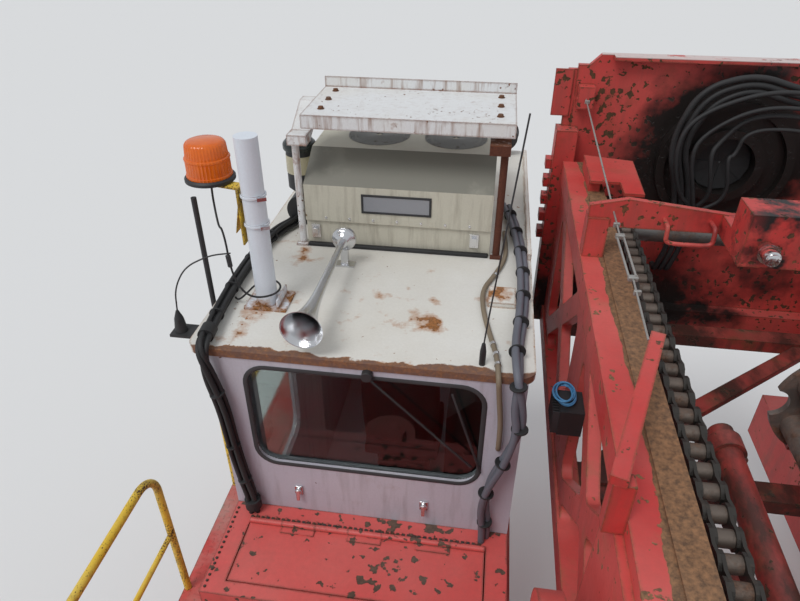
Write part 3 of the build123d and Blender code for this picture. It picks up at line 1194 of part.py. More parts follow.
def compressor():
    """Screw compressor: barrel on feet with end flanges and an intake on top."""
    y0, y1 = SCREW_Y
    parts = [rod_y(0, y0, y1, SCREW_Z, SCREW_R), rod_y(0, y1 - 60, y1, SCREW_Z, SCREW_R + 40),
             rod_y(0, y0 + 240, y0 + 300, SCREW_Z, SCREW_R + 40), rod_z(0, 0, SCREW_Z, SCREW_Z + 470, 130)]
    for y in (y0, CROSS_YS[3]):
        parts.append(box(-230, 230, y, y + 50, CROSS_TOP, SCREW_Z))
    return fuse(parts)


def radiator():
    """Cooler across the back with slats outside and a round fan shroud inside."""
    y0, y1 = RADIATOR_Y
    body = box(-RAIL_IN, RAIL_IN, y0, y1, RAIL_BOTTOM, RADIATOR_TOP)
    body -= box(-RAIL_IN + 80, RAIL_IN - 80, y0 - 1, y0 + 50, RAIL_BOTTOM + 80, RADIATOR_TOP - 80)
    body -= rod_y(0, y0 + 150, y1 + 1, FAN_Z, FAN_BLADE_R + 20)
    body -= rod_y(0, y0 + 100, y0 + 160, FAN_Z, FAN_SHAFT_R + FIT)
    step = (RADIATOR_TOP - RAIL_BOTTOM - 160) / SLATS
    slats = [box(-RAIL_IN + 79, RAIL_IN - 79, y0 + 5, y0 + 51, RAIL_BOTTOM + 80 + (i + 0.3) * step,
                 RAIL_BOTTOM + 80 + (i + 0.7) * step) for i in range(SLATS)]
    return fuse([body] + slats)


def fan():
    """Cooling fan: shaft, hub and pitched blades."""
    y0 = RADIATOR_Y[0]
    middle = y0 + 270
    parts = [rod_y(0, y0 + 110, y0 + 380, FAN_Z, FAN_SHAFT_R), rod_y(0, y0 + 200, y0 + 340, FAN_Z, FAN_HUB_R)]
    length = FAN_BLADE_R - FAN_HUB_R / 2
    for i in range(FAN_BLADES):
        blade = Pos(0, 0, FAN_BLADE_R - length / 2) * Rot(0, 0, 32) * Box(130, 14, length)
        parts.append(Pos(0, middle, FAN_Z) * Rot(0, i * 360 / FAN_BLADES, 0) * blade)
    return fuse(parts)


def tank(x0, x1, ys, top):
    """Rounded tank on the deck with two straps and a filler cap."""
    y0, y1 = ys
    shell = box(x0, x1, y0, y1, DECK_Z, top)
    shell = fillet(shell.edges().filter_by(Axis.Y).sort_by(Axis.Z)[-2:], TANK_ROUND)
    straps = []
    for share in (0.22, 0.78):
        y = y0 + share * (y1 - y0)
        strap = box(x0 - STRAP_T, x1 + STRAP_T, y - STRAP_W / 2, y + STRAP_W / 2, DECK_Z, top + STRAP_T)
        straps.append(fillet(strap.edges().filter_by(Axis.Y).sort_by(Axis.Z)[-2:], TANK_ROUND + STRAP_T))
    middle = (x0 + x1) / 2
    return fuse([shell] + straps + [rod_z(middle, y0 + 0.5 * (y1 - y0), top - 1, top + 60, 70)])


def receiver():
    """Compressed air receiver with dished ends on two saddles."""
    y0, y1 = RAIL_BACK + 1230, RAIL_BACK + 2900
    x = (TANK_IN + TANK_OUT) / 2
    top = RECEIVER_Z + RECEIVER_R
    shell = turned_y(x, RECEIVER_Z, [(0, y0 - 110), (170, y0 - 95), (300, y0 - 50), (RECEIVER_R, y0),
                                     (RECEIVER_R, y1), (300, y1 + 50), (170, y1 + 95), (0, y1 + 110)])
    feet = [box(x - 220, x + 220, y, y + 90, DECK_Z, RECEIVER_Z - 200) for y in (y0 + 250, y1 - 340)]
    return fuse([shell] + feet + [rod_z(x, (y0 + y1) / 2, top - 20, top + 90, 40)])


def dust_collector():
    """Dust collector: filter house on legs over two hoppers, with a suction pipe."""
    x0, x1 = TANK_IN, TANK_OUT + 20
    y0, y1 = DUST_Y
    floor, mouth = 2250, 1600
    house = box(x0, x1, y0, y1, floor, DUST_TOP)
    parts = [house]
    middle = (y0 + y1) / 2
    for a, b in ((y0, middle), (middle, y1)):
        centre = (a + b) / 2
        face_top = Plane((0, 0, floor + 1)) * Pos((x0 + x1) / 2, centre) * Rectangle(x1 - x0 - 40, b - a - 40)
        face_low = Plane((0, 0, mouth)) * Pos((x0 + x1) / 2, centre) * Rectangle(200, 200)
        parts.append(loft([face_low, face_top]))
    for x in (x0, x1 - DUST_LEG):
        for y in (y0, y1 - DUST_LEG):
            parts.append(box(x, x + DUST_LEG, y, y + DUST_LEG, DECK_Z, floor + 1))
    for i in range(3):
        y = y0 + 70 + i * (y1 - y0 - 100) / 3
        parts.append(box(x1 - 1, x1 + 25, y, y + 460, floor + 80, DUST_TOP - 80))
    parts.append(rod_y((x0 + x1) / 2, y1 - 1, y1 + 260, DUST_TOP - 300, 120))
    return fuse(parts)


def muffler():
    """Exhaust silencer on two feet with a stack that bends up to its rain cap."""
    x, z = -(TANK_IN + TANK_OUT) / 2 + 150, 1900
    y0, y1 = MUFFLER_Y
    body = turned_y(x, z, [(0, y0), (STACK_R, y0), (MUFFLER_R, y0 + 60), (MUFFLER_R, y1 - 60),
                           (STACK_R, y1), (0, y1)])
    stack = tube([(x, y1 - 10, z), (x, y1 + 200, z), (x, y1 + 200, z + 1180)], STACK_R)
    feet = [box(x - 70, x + 70, y, y + 60, DECK_Z, z - MUFFLER_R + 40) for y in (y0 + 200, y1 - 260)]
    return fuse([body, stack] + feet)


def winch():
    """Hoist winch drum and its stand, inside the mast near the crown."""
    y, z = MAST_BACK + 250, 2700
    floor = MAST_LOW + FACE_TOP
    drum = fuse([rod_x(-220, 220, y, z, 110), rod_x(-240, -220, y, z, 190), rod_x(220, 240, y, z, 190),
                 rod_x(-300, 300, y, z, 35)])
    stand = []
    for x in (-290, 260):
        ear = plate_x(x, x + 30, [(y - 120, floor), (y + 120, floor), (y + 60, z + 90), (y - 60, z + 90)])
        stand.append(ear - rod_x(x - 5, x + 35, y, z, 35 + FIT))
    stand.append(box(-290, 290, y - 120, y + 120, floor, floor + 40))
    return drum, fuse(stand)


os.makedirs("parts", exist_ok=True)

save("main_frame", main_frame())
save("track_frames", *both(track_frame()))
right_wheels = track_wheels()
save("track_wheels", *right_wheels, *[mirror(w, Plane.YZ) for w in right_wheels])
right_track = track_loop()
save("track_right", right_track)
save("track_left", mirror(right_track, Plane.YZ))

casings = []
for end, y in zip(("back", "front"), JACK_YS):
    casings += both(jack_casing(y))
    leg = jack_leg(y)
    save(f"jack_leg_{end}_right", leg)
    save(f"jack_leg_{end}_left", mirror(leg, Plane.YZ))
save("jack_casings", *casings)

side = fuse([mast_side(), mast_pivot_boss(), lift_lug()])
save("mast_side_right", side)
save("mast_side_left", mirror(side, Plane.YZ))
save("mast_lower_face", mast_lower_face())
save("mast_crown", mast_crown())
save("mast_foot", mast_foot())
save("mast_hoses", *mast_hoses())
save("feed_chains", *both(feed_chain()))
crown_y, foot_y = CHAIN_ENDS
save("feed_sprockets", feed_sprockets(crown_y), feed_sprockets(foot_y))
save("rotary_head", rotary_head())
save("carousel", carousel())
save("feed_cylinder", feed_cylinder())
drum, stand = winch()
save("winch_drum", drum)
save("mast_brackets", *sprocket_brackets(crown_y), *sprocket_brackets(foot_y), *carousel_brackets(), stand,
     *chord_fittings())

save("mast_towers", *both(tower()), *both(lift_bracket()))
barrel, rod = lift_cylinder()
save("lift_barrels", *both(barrel))
save("lift_rods", *both(rod))

save("decks", *both(deck()))
rail_x = HALF_WIDTH - RAIL_TUBE_R
rail_ends = (DECK_BACK + 40, DECK_FRONT - 40)
save("handrails", *handrail(rail_x, [rail_ends]),
     *handrail(-rail_x, [(rail_ends[0], LADDER_YS[0] - 80), (LADDER_YS[1] + 100, rail_ends[1])]))
save("ladder", ladder(-HALF_WIDTH + OUTRIGGER_INSET))

for name, solids in cab().items():
    save(name, *solids)
seat, console = cab_inside()
save("cab_seat", seat)
save("cab_console", console)
save("roof_aircon", *aircon())
save("aircon_guard", guard())
save("roof_tube", roof_tube())
save("beacon", beacon())
save("air_horn", horn())
save("roof_hoses", *roof_hoses())
save("antennas", *antennas())
save("lamps", *lamps())
hood_body, hood_lid = hood()
save("hood_box", hood_body)
save("hood_lid", hood_lid)

save("engine", engine())
save("compressor", compressor())
save("radiator", radiator())
save("fan", fan())
save("fuel_tank", tank(TANK_IN, TANK_OUT, FUEL_TANK_Y, TANK_TOP))
save("hydraulic_tank", tank(-TANK_OUT, -TANK_IN, HYDRAULIC_TANK_Y, HYDRAULIC_TANK_TOP))
save("water_tank", tank(-TANK_OUT, -TANK_IN, WATER_TANK_Y, TANK_TOP))
save("air_receiver", receiver())
save("dust_collector", dust_collector())
save("muffler", muffler())
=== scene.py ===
import math

import bmesh
import bpy
import numpy as np
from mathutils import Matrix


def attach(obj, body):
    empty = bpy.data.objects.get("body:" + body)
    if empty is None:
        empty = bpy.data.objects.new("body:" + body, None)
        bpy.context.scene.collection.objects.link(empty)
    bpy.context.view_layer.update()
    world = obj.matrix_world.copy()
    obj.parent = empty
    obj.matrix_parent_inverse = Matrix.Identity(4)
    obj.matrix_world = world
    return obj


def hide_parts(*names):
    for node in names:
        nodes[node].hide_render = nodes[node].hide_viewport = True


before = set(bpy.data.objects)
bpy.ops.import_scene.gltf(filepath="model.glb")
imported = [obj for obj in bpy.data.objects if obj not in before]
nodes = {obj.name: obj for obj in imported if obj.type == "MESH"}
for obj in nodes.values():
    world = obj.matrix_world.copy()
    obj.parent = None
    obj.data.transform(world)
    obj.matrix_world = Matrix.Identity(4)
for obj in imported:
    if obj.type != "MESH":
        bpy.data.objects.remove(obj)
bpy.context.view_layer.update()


# Viewpoint
# The camera stands at head height on the lowered mast and looks down over the cab roof to the
# drill end, with a wide lens whose verticals splay towards the bottom of the picture.
EYE = (-1.327, 1.5, 4.82)
EYE_PITCH, EYE_TURN = 56.5, 8.4
LENS, SENSOR_WIDTH = 28.575, 36
NEAREST, FARTHEST = 0.02, 200


def placed(name, data):
    """A new object in the scene, made of the data given."""
    made = bpy.data.objects.new(name, data)
    bpy.context.scene.collection.objects.link(made)
    return made


camera = placed("camera", bpy.data.cameras.new("camera"))
camera.location = EYE
camera.rotation_euler = (math.radians(EYE_PITCH), 0, math.radians(EYE_TURN))
camera.data.lens, camera.data.sensor_width = LENS, SENSOR_WIDTH
camera.data.clip_start, camera.data.clip_end = NEAREST, FARTHEST
bpy.context.scene.camera = camera
bpy.context.scene.view_settings.view_transform = "Standard"


# Ground and daylight
# A pale even floor and an overcast sky with one broad soft lamp, set so that a colour that faces
# the sky renders about as it is written. The floor lies just under the lowest faces of the tracks.
FLOOR_HALF, FLOOR_Z = 40, 0.028
FLOOR_GREY = (0.74, 0.74, 0.735, 1)
SKY = (0.93, 0.96, 1.0, 1)
SKY_LEVEL, LAMP_LEVEL, LAMP_SPREAD = 0.62, 1.35, math.radians(25)
LAMP_TILT = (math.radians(28), math.radians(-22), 0)


def add(tree, kind, inputs=(), **settings):
    """A shader node with its settings and, by socket name or number, its input values or links."""
    made = tree.nodes.new("ShaderNode" + kind)
    for key, value in settings.items():
        setattr(made, key, value)
    for key, value in dict(inputs).items():
        if isinstance(value, bpy.types.NodeSocket):
            tree.links.new(value, made.inputs[key])
        else:
            made.inputs[key].default_value = value
    return made


def shader(name, **inputs):
    """A new material with one Principled shader, whose plain values are set; returns both."""
    material = bpy.data.materials.new(name)
    material.use_nodes = True
    principled = material.node_tree.nodes["Principled BSDF"]
    for key, value in inputs.items():
        principled.inputs[key.replace("_", " ")].default_value = value
    return material, principled


def oblong(half_wide, half_deep):
    """Corners of a rectangle about the middle."""
    return [(-half_wide, -half_deep), (half_wide, -half_deep), (half_wide, half_deep),
            (-half_wide, half_deep)]


world = bpy.data.worlds.new("overcast sky")
world.use_nodes = True
sky_light = world.node_tree.nodes["Background"]
sky_light.inputs["Color"].default_value = SKY
sky_light.inputs["Strength"].default_value = SKY_LEVEL
bpy.context.scene.world = world

lamp_data = bpy.data.lights.new("soft daylight", "SUN")
lamp_data.energy, lamp_data.angle = LAMP_LEVEL, LAMP_SPREAD
placed("soft daylight", lamp_data).rotation_euler = LAMP_TILT

floor_mesh = bpy.data.meshes.new("floor")
floor_mesh.from_pydata([(x, y, FLOOR_Z) for x, y in oblong(FLOOR_HALF, FLOOR_HALF)], [], [(0, 1, 2, 3)])
floor_mesh.materials.append(shader("pale floor", Base_Color=FLOOR_GREY, Roughness=0.9)[0])
floor = placed("floor", floor_mesh)


# Frames, towers, tanks and all else in plain red
# Welded box steel under oxide red paint. The paint has faded in wide patches, is chipped through to
# rust along the edges and in small islands, and carries grime in streaks and dust on what faces up.
PAINT_COLOURS = ("Paint", "Faded", "Rust", "Dirt")
PAINT_AMOUNTS = ("Fading", "Chips", "Edges", "Stains", "Grime", "Dust", "Size", "Flakes", "Flake Scale")
CHIP_LEVEL, FLAKE_LEVEL, CHIP_SOFTNESS, EDGE_ROUND = 0.87, 1.06, 0.02, 0.014
STAINED, FADED, UPWARD = (0.74, 0.90), (0.40, 0.62), (0.3, 0.9)
DARK_RUST, DUST_COLOUR = (0.035, 0.022, 0.016, 1), (0.42, 0.37, 0.32, 1)


def own_place(tree):
    """Place on the piece, in its own coordinates."""
    return add(tree, "TexCoord").outputs["Object"]


def split(tree, vector=None):
    """X, Y and Z of a vector, or of the place on the piece."""
    return add(tree, "SeparateXYZ", {0: own_place(tree) if vector is None else vector}).outputs


def vector_math(tree, operation, *inputs, **named):
    """Outputs of a sum on vectors."""
    return add(tree, "VectorMath", {**dict(enumerate(inputs)), **named}, operation=operation).outputs


def feed(node, **sockets):
    """Link each socket given to the node's input of that name."""
    for key, socket in sockets.items():
        node.id_data.links.new(socket, node.inputs[key.replace("_", " ")])


def mixed(tree, factor, a, b):
    """Colour between a and b by a factor."""
    return add(tree, "Mix", {0: factor, 6: a, 7: b}, data_type="RGBA").outputs[2]


def mixed_number(tree, factor, a, b):
    """Number between a and b by a factor."""
    return add(tree, "Mix", {0: factor, 2: a, 3: b}, data_type="FLOAT").outputs[0]


def counted(tree, operation, a, b=0.0, c=0.0):
    """Result of a sum on numbers."""
    return add(tree, "Math", {0: a, 1: b, 2: c}, operation=operation).outputs[0]


def times(tree, a, b, more=0.0):
    """a times b, with more added."""
    return counted(tree, "MULTIPLY_ADD", a, b, more)


def ramp(tree, value, low, high, floor_value=0.0, top_value=1.0):
    """Value carried from the range low...high to the range floor_value...top_value, clamped."""
    return add(tree, "MapRange", {"Value": value, "From Min": low, "From Max": high,
                                  "To Min": floor_value, "To Max": top_value}).outputs["Result"]


def noise(tree, place, scale, detail=6.0, roughness=0.6):
    """Fractal noise about 0.5."""
    return add(tree, "TexNoise", {"Vector": place, "Scale": scale, "Detail": detail,
                                  "Roughness": roughness}).outputs["Fac"]


def weathered_paint_group():
    """Shader group of old paint. Edge mask: how far the normal rounded over a small radius leaves the
    true one. Chip mask: noise plus edge mask above a threshold. Flake mask: fine noise that passes its
    threshold in clusters only. Streaks: noise drawn out along Z."""
    tree = bpy.data.node_groups.new("weathered paint", "ShaderNodeTree")
    sockets = [("INPUT", "Color", name) for name in PAINT_COLOURS]
    sockets += [("INPUT", "Float", name) for name in (*PAINT_AMOUNTS, "Wear")]
    sockets += [("OUTPUT", "Color", "Color"), ("OUTPUT", "Float", "Roughness"), ("OUTPUT", "Float", "Height")]
    for way, kind, name in sockets:
        tree.interface.new_socket(name, in_out=way, socket_type="NodeSocket" + kind)
    given = tree.nodes.new("NodeGroupInput").outputs
    sized = vector_math(tree, "SCALE", own_place(tree), Scale=given["Size"])[0]
    normal = add(tree, "NewGeometry").outputs["Normal"]
    rounded = add(tree, "Bevel", {"Radius": EDGE_ROUND}, samples=3).outputs[0]
    edge = ramp(tree, vector_math(tree, "DOT_PRODUCT", rounded, normal)["Value"], 0.995, 0.80)
    patches = noise(tree, sized, 0.9, 4.0)
    islands = noise(tree, sized, 6.5, 9.0, 0.62)
    grain = noise(tree, sized, 55.0, 4.0, 0.7)
    drawn = add(tree, "Mapping", {"Vector": sized, "Scale": (9.0, 9.0, 0.9)}).outputs[0]
    streaks = noise(tree, drawn, 1.6, 5.0)
    level = times(tree, edge, given["Edges"], islands)
    level = times(tree, given["Chips"], 0.25, level)
    level = counted(tree, "ADD", level, given["Wear"])
    level = times(tree, patches, 0.22, level)
    chip = ramp(tree, level, CHIP_LEVEL, CHIP_LEVEL + CHIP_SOFTNESS)
    flecks = noise(tree, sized, given["Flake Scale"], 3.0, 0.5)
    clustered = times(tree, noise(tree, sized, 2.1, 3.0), 0.5, flecks)
    clustered = times(tree, given["Flakes"], 0.2, clustered)
    flake = ramp(tree, clustered, FLAKE_LEVEL, FLAKE_LEVEL + CHIP_SOFTNESS)
    chip = counted(tree, "MAXIMUM", chip, flake)
    stain = times(tree, ramp(tree, level, *STAINED), given["Stains"])
    fade = times(tree, ramp(tree, patches, *FADED), given["Fading"])
    up = split(tree, normal)["Z"]
    dusty = times(tree, ramp(tree, up, *UPWARD), given["Dust"])
    dusty = times(tree, ramp(tree, noise(tree, sized, 2.2, 7.0, 0.7), 0.38, 0.66), dusty)
    grimy = times(tree, ramp(tree, streaks, 0.50, 0.72), given["Grime"])
    grimy = times(tree, ramp(tree, up, *UPWARD, 1.0, 0.2), grimy)
    colour = mixed(tree, fade, given["Paint"], given["Faded"])
    colour = mixed(tree, ramp(tree, grain, 0.2, 0.8, 0.0, 0.18), colour, given["Dirt"])
    colour = mixed(tree, grimy, colour, given["Dirt"])
    colour = mixed(tree, stain, colour, given["Rust"])
    dark_rust = mixed(tree, 0.72, given["Rust"], DARK_RUST)
    rust = mixed(tree, ramp(tree, grain, 0.35, 0.65), given["Rust"], dark_rust)
    colour = mixed(tree, dusty, mixed(tree, chip, colour, rust), DUST_COLOUR)
    rough = ramp(tree, counted(tree, "ADD", chip, dusty), 0.0, 1.0, 0.42, 0.9)
    feed(tree.nodes.new("NodeGroupOutput"), Color=colour, Roughness=times(tree, grain, 0.16, rough),
         Height=times(tree, grain, 0.25, times(tree, chip, -1.0)))
    return tree


PAINT = weathered_paint_group()


def painted(name, paint, faded, rust=(0.20, 0.075, 0.03), dirt=(0.09, 0.065, 0.05), fading=0.6, chips=0.3,
            edges=0.25, stains=0.4, grime=0.35, dust=0.35, size=1.0, flakes=0.0, flake_scale=17.0,
            bump=0.0015, wear_mask=None, **shader_values):
    """A painted material: the weathered paint group with this paint's own values, and its bump."""
    material, principled = shader(name, **shader_values)
    tree = material.node_tree
    group = tree.nodes.new("ShaderNodeGroup")
    group.node_tree = PAINT
    colours = [(*colour, 1) for colour in (paint, faded, rust, dirt)]
    amounts = (fading, chips, edges, stains, grime, dust, size, flakes, flake_scale)
    for key, value in zip((*PAINT_COLOURS, *PAINT_AMOUNTS), (*colours, *amounts)):
        group.inputs[key].default_value = value
    if wear_mask:
        feed(group, Wear=wear_mask(tree))
    bumped = add(tree, "Bump", {"Height": group.outputs["Height"], "Distance": bump, "Strength": 0.8})
    feed(principled, Base_Color=group.outputs["Color"], Roughness=group.outputs["Roughness"],
         Normal=bumped.outputs[0])
    return material


def coat(material, *names):
    """Give carried-over nodes their finish."""
    for name in names:
        for slot in nodes[name].material_slots:
            slot.material = material


RED, RED_FADED = (0.56, 0.032, 0.030), (0.62, 0.105, 0.088)
red_paint = painted("chipped red paint", RED, RED_FADED, dust=0.22, flakes=0.5, flake_scale=24.0)
coat(red_paint, "main_frame", "track_frames", "jack_casings", "mast_towers", "lift_barrels", "mast_crown",
     "rotary_head", "radiator", "fuel_tank", "hydraulic_tank", "water_tank", "air_receiver", "dust_collector")


# Deck plates
# Checkered steel plate: short raised bars that lie crosswise in turn, with red paint worn off them.
TREAD_PITCH, BAR_SLENDER, BAR_REACH = 0.045, 14.0, (0.19, 0.12)


def tread_height(tree):
    """Raised bars: in each square cell of a checkerboard, a narrow ellipse along X or along Y in turn."""
    cell = vector_math(tree, "SCALE", own_place(tree), Scale=1 / TREAD_PITCH)[0]
    within = vector_math(tree, "FRACTION", cell)[0]
    x, y, _ = split(tree, vector_math(tree, "SUBTRACT", within, (0.5, 0.5, 0.0))[0])
    turn = add(tree, "TexChecker", {"Vector": cell, "Scale": 1.0}).outputs["Fac"]
    along, across = mixed_number(tree, turn, x, y), mixed_number(tree, turn, y, x)
    reach = times(tree, times(tree, across, across), BAR_SLENDER, times(tree, along, along))
    return ramp(tree, reach, *BAR_REACH)


deck_paint = painted("worn tread plate", RED, RED_FADED, chips=0.45, dust=0.6, grime=0.2,
                     wear_mask=lambda tree: times(tree, tread_height(tree), 0.06))
deck_tree = deck_paint.node_tree
tread_bump = add(deck_tree, "Bump", {"Height": tread_height(deck_tree), "Distance": 0.003})
feed(deck_tree.nodes["Bump"], Normal=tread_bump.outputs[0])
coat(deck_paint, "decks")


# Tracks, wheels and jack legs
# Cast shoes and wheels worn bright where they run and rusty elsewhere, and ground steel jack rods.
RUST_LEVEL, RUST_SPAN = 0.66, 0.14


def metal(name, bright, rust, rusted=0.5, scale=5.0, roughness=0.4, metallic=0.85):
    """Bare metal that rusts in fractal patches: in the patches it is rough and hardly metallic."""
    material, principled = shader(name)
    tree = material.node_tree
    place, level = own_place(tree), RUST_LEVEL - 0.3 * rusted
    patch = ramp(tree, noise(tree, place, scale, 9.0, 0.68), level, level + RUST_SPAN)
    grain = noise(tree, place, scale * 14, 3.0)
    dark = tuple(0.4 * c for c in rust)
    rust_colour = mixed(tree, ramp(tree, grain, 0.35, 0.65), (*rust, 1), (*dark, 1))
    bumped = add(tree, "Bump", {"Height": counted(tree, "ADD", grain, patch), "Distance": 0.0008})
    feed(principled, Base_Color=mixed(tree, patch, (*bright, 1), rust_colour),
         Metallic=ramp(tree, patch, 0, 1, metallic, 0.05),
         Roughness=times(tree, grain, 0.15, ramp(tree, patch, 0, 1, roughness, 0.85)),
         Normal=bumped.outputs[0])
    return material


track_steel = metal("rusty track steel", (0.30, 0.28, 0.26), (0.16, 0.075, 0.04), 0.7)
cast_iron = metal("cast iron", (0.13, 0.125, 0.12), (0.12, 0.06, 0.035), 0.5)
ground_rod = metal("ground steel rod", (0.70, 0.70, 0.71), (0.20, 0.12, 0.07), 0.05, roughness=0.16,
                   metallic=1.0)
coat(track_steel, "track_right", "track_left", "winch_drum", "ladder", "muffler")
coat(cast_iron, "track_wheels", "engine", "compressor", "feed_sprockets")
coat(ground_rod, "lift_rods", "jack_leg_back_right", "jack_leg_back_left", "jack_leg_front_right",
     "jack_leg_front_left")


# Shoe bolts
# Four bolts hold each shoe on the link rail; their heads stand on the outside of the shoe.
SHOES, TRACK_HALF, TRACK_RADIUS, AXLE_HEIGHT, TRACK_MIDDLE = 42, 1.92, 0.38, 0.445, 1.75
BOLT_X, BOLT_Y, HEX_BOLT = 0.080, 0.042, 0.016
ACROSS, AHEAD, UP = np.eye(3)


def joined(parts):
    """One list of points and one of faces from several, the faces' numbers moved on."""
    points, faces, start = [], [], 0
    for some_points, some_faces in parts:
        some_points = np.asarray(some_points, float)
        points.append(some_points)
        faces += [tuple(int(i) + start for i in face) for face in some_faces]
        start += len(some_points)
    return np.vstack(points), faces


def piece(name, parts, material, body="chassis", bevel=0.0, smooth=40):
    """A mesh piece that rides on a body: parts are joined, doubles merged and faces turned outwards."""
    points, faces = joined(parts)
    mesh = bpy.data.meshes.new(name)
    mesh.from_pydata(points.tolist(), [], faces)
    soft = bmesh.new()
    soft.from_mesh(mesh)
    bmesh.ops.remove_doubles(soft, verts=soft.verts, dist=1e-6)
    bmesh.ops.dissolve_degenerate(soft, edges=soft.edges, dist=1e-7)
    bmesh.ops.recalc_face_normals(soft, faces=soft.faces)
    soft.to_mesh(mesh)
    soft.free()
    mesh.materials.append(material)
    made = placed(name, mesh)
    mesh.set_sharp_from_angle(angle=math.radians(smooth))
    if bevel:
        rounding = made.modifiers.new("rounding", "BEVEL")
        rounding.width, rounding.segments, rounding.limit_method = bevel, 2, "ANGLE"
    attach(made, body)
    return made


def prism(outline, height, origin=(0, 0, 0), u=ACROSS, v=AHEAD):
    """A closed outline in the plane of u and v, carried along their cross product for a height."""
    u, v = np.asarray(u, float), np.asarray(v, float)
    outline = np.asarray(outline, float)
    base = np.asarray(origin, float) + outline[:, :1] * u + outline[:, 1:] * v
    top = base + np.cross(u, v) * height
    n = len(outline)
    sides = [(i, (i + 1) % n, n + (i + 1) % n, n + i) for i in range(n)]
    return np.vstack([base, top]), [tuple(range(n))[::-1], tuple(range(n, 2 * n)), *sides]


def ring_outline(radius, count, turn=0.0):
    """Points evenly round a circle, from the angle turn."""
    angle = turn + 2 * np.pi * np.arange(count) / count
    return radius * np.stack([np.cos(angle), np.sin(angle)], axis=1)


def bolt(place, u, v, radius=HEX_BOLT / 1.4, height=HEX_BOLT * 0.55):
    """Hexagon head with a washer under it; the head points along the cross product of u and v."""
    washer = prism(ring_outline(radius * 1.35, 14), height * 0.25, place, u, v)
    head = prism(ring_outline(radius, 6), height * 1.25, place, u, v)
    return [washer, head]


def loop_frames(s, back, front, radius, axle):
    """Places and turns on a loop of two level runs joined by half circles: arc length s to a point on
    the lower run, front arc, upper run or back arc."""
    run, arc = front - back, np.pi * radius
    before = [s < run, s < run + arc, s < 2 * run + arc]
    turn = np.select(before, [0 * s, (s - run) / radius, 0 * s + np.pi], np.pi + (s - 2 * run - arc) / radius)
    y = np.select(before, [back + s, 0 * s + front, front - (s - run - arc)], 0 * s + back)
    return np.stack([0 * s, y + radius * np.sin(turn), axle - radius * np.cos(turn)], axis=1), turn


def shoe_bolts(middle):
    """Bolts of one track: four on each shoe, on both sides of its place along and across the loop."""
    s = (np.arange(SHOES) + 0.5) * 2 * (2 * TRACK_HALF + math.pi * TRACK_RADIUS) / SHOES
    heads = []
    for place, turn in zip(*loop_frames(s, -TRACK_HALF, TRACK_HALF, TRACK_RADIUS, AXLE_HEIGHT)):
        along = np.array([0, math.cos(turn), math.sin(turn)])
        for side in (middle - BOLT_X, middle + BOLT_X):
            for step in (-BOLT_Y, BOLT_Y):
                heads += bolt(place + side * ACROSS + step * along, along, ACROSS)
    return heads


for side, sign in (("right", 1), ("left", -1)):
    piece(f"shoe_bolts_{side}", shoe_bolts(sign * TRACK_MIDDLE), track_steel)


# Mast sides
# The truss sides are the same red, but the head's rollers have worn the rail on top of each chord
# to brown steel, with the paint left only on its outer half.
RAIL_EDGE, CHORD_TOP = 0.815, 3.43


def rail_wear(tree):
    """Wear of 1 on the rail strip: high up on the chord, nearer the middle than a wandering edge."""
    place = own_place(tree)
    x, _, z = split(tree, place)
    wander = times(tree, noise(tree, place, 3.0, 8.0), 0.10, -0.05)
    edge = counted(tree, "ADD", counted(tree, "ABSOLUTE", x), wander)
    inside = ramp(tree, edge, RAIL_EDGE + 0.006, RAIL_EDGE - 0.006)
    high = ramp(tree, z, CHORD_TOP, CHORD_TOP + 0.01)
    return times(tree, times(tree, inside, high), 0.45)


mast_paint = painted("red paint with a worn rail", RED, (0.74, 0.15, 0.13), rust=(0.29, 0.145, 0.068),
                     wear_mask=rail_wear, chips=0.30, grime=0.25, dust=0.05, flakes=0.65, flake_scale=26.0,
                     fading=0.75)
coat(mast_paint, "mast_side_right", "mast_side_left")


# Foot of the mast
# The plate round the drill bushing is black with grease, and clean red further out. The lower face
# and the feed cylinder inside the mast are dark with what the chains fling off, and their red is
# darker still as painted shade inside the mast.
BUSHING = (0.0, 3.45)
GREASE_INNER, GREASE_OUTER, GREASE_RAGGED = 0.46, 0.62, 0.5
GREASE_BLACK, GREASE_ROUGHNESS = (0.016, 0.013, 0.012, 1), 0.35

foot_paint = painted("red paint with grease", RED, RED_FADED, rust=(0.12, 0.06, 0.025), chips=0.30, grime=0.3,
                     dust=0.1, flakes=1.0, flake_scale=30.0)


def greased(material):
    """Mix grease over a material: a dark, smooth coat inside a ragged ring about the bushing, and in
    patches further down."""
    tree = material.node_tree
    sockets = tree.nodes["Principled BSDF"].inputs
    place = own_place(tree)
    x, _, z = split(tree, place)
    dx, dz = counted(tree, "SUBTRACT", x, BUSHING[0]), counted(tree, "SUBTRACT", z, BUSHING[1])
    away = counted(tree, "SQRT", times(tree, dx, dx, times(tree, dz, dz)))
    reach = times(tree, noise(tree, place, 4.0, 8.0), GREASE_RAGGED, away)
    mask = ramp(tree, reach, GREASE_OUTER + GREASE_RAGGED / 2, GREASE_INNER + GREASE_RAGGED / 2)
    below = times(tree, ramp(tree, noise(tree, place, 2.0), 0.45, 0.6), ramp(tree, z, 3.3, 2.6))
    mask = counted(tree, "MAXIMUM", mask, below)
    colour, rough = (sockets[name].links[0].from_socket for name in ("Base Color", "Roughness"))
    tree.links.new(mixed(tree, mask, colour, GREASE_BLACK), sockets["Base Color"])
    tree.links.new(mixed_number(tree, mask, rough, GREASE_ROUGHNESS), sockets["Roughness"])


greased(foot_paint)
coat(foot_paint, "mast_foot")
# A darker red than the mast's paint: partly painted shade inside the mast, with real grease over it.
shaded_greasy_inner_paint = painted("greasy paint with painted shade inside the mast", (0.40, 0.026, 0.024), (0.46, 0.080, 0.062),
                      rust=(0.15, 0.075, 0.03), dirt=(0.040, 0.032, 0.026), chips=0.42, stains=0.7,
                      grime=0.85, dust=0.12, flakes=0.7, flake_scale=20.0)
# The pale colour for the top of the foot's lip is a painted highlight.
INNER_GREASE, LIP_HIGHLIGHT, LIP_TOP = (0.032, 0.022, 0.017, 1), (0.62, 0.52, 0.50, 1), 4.029


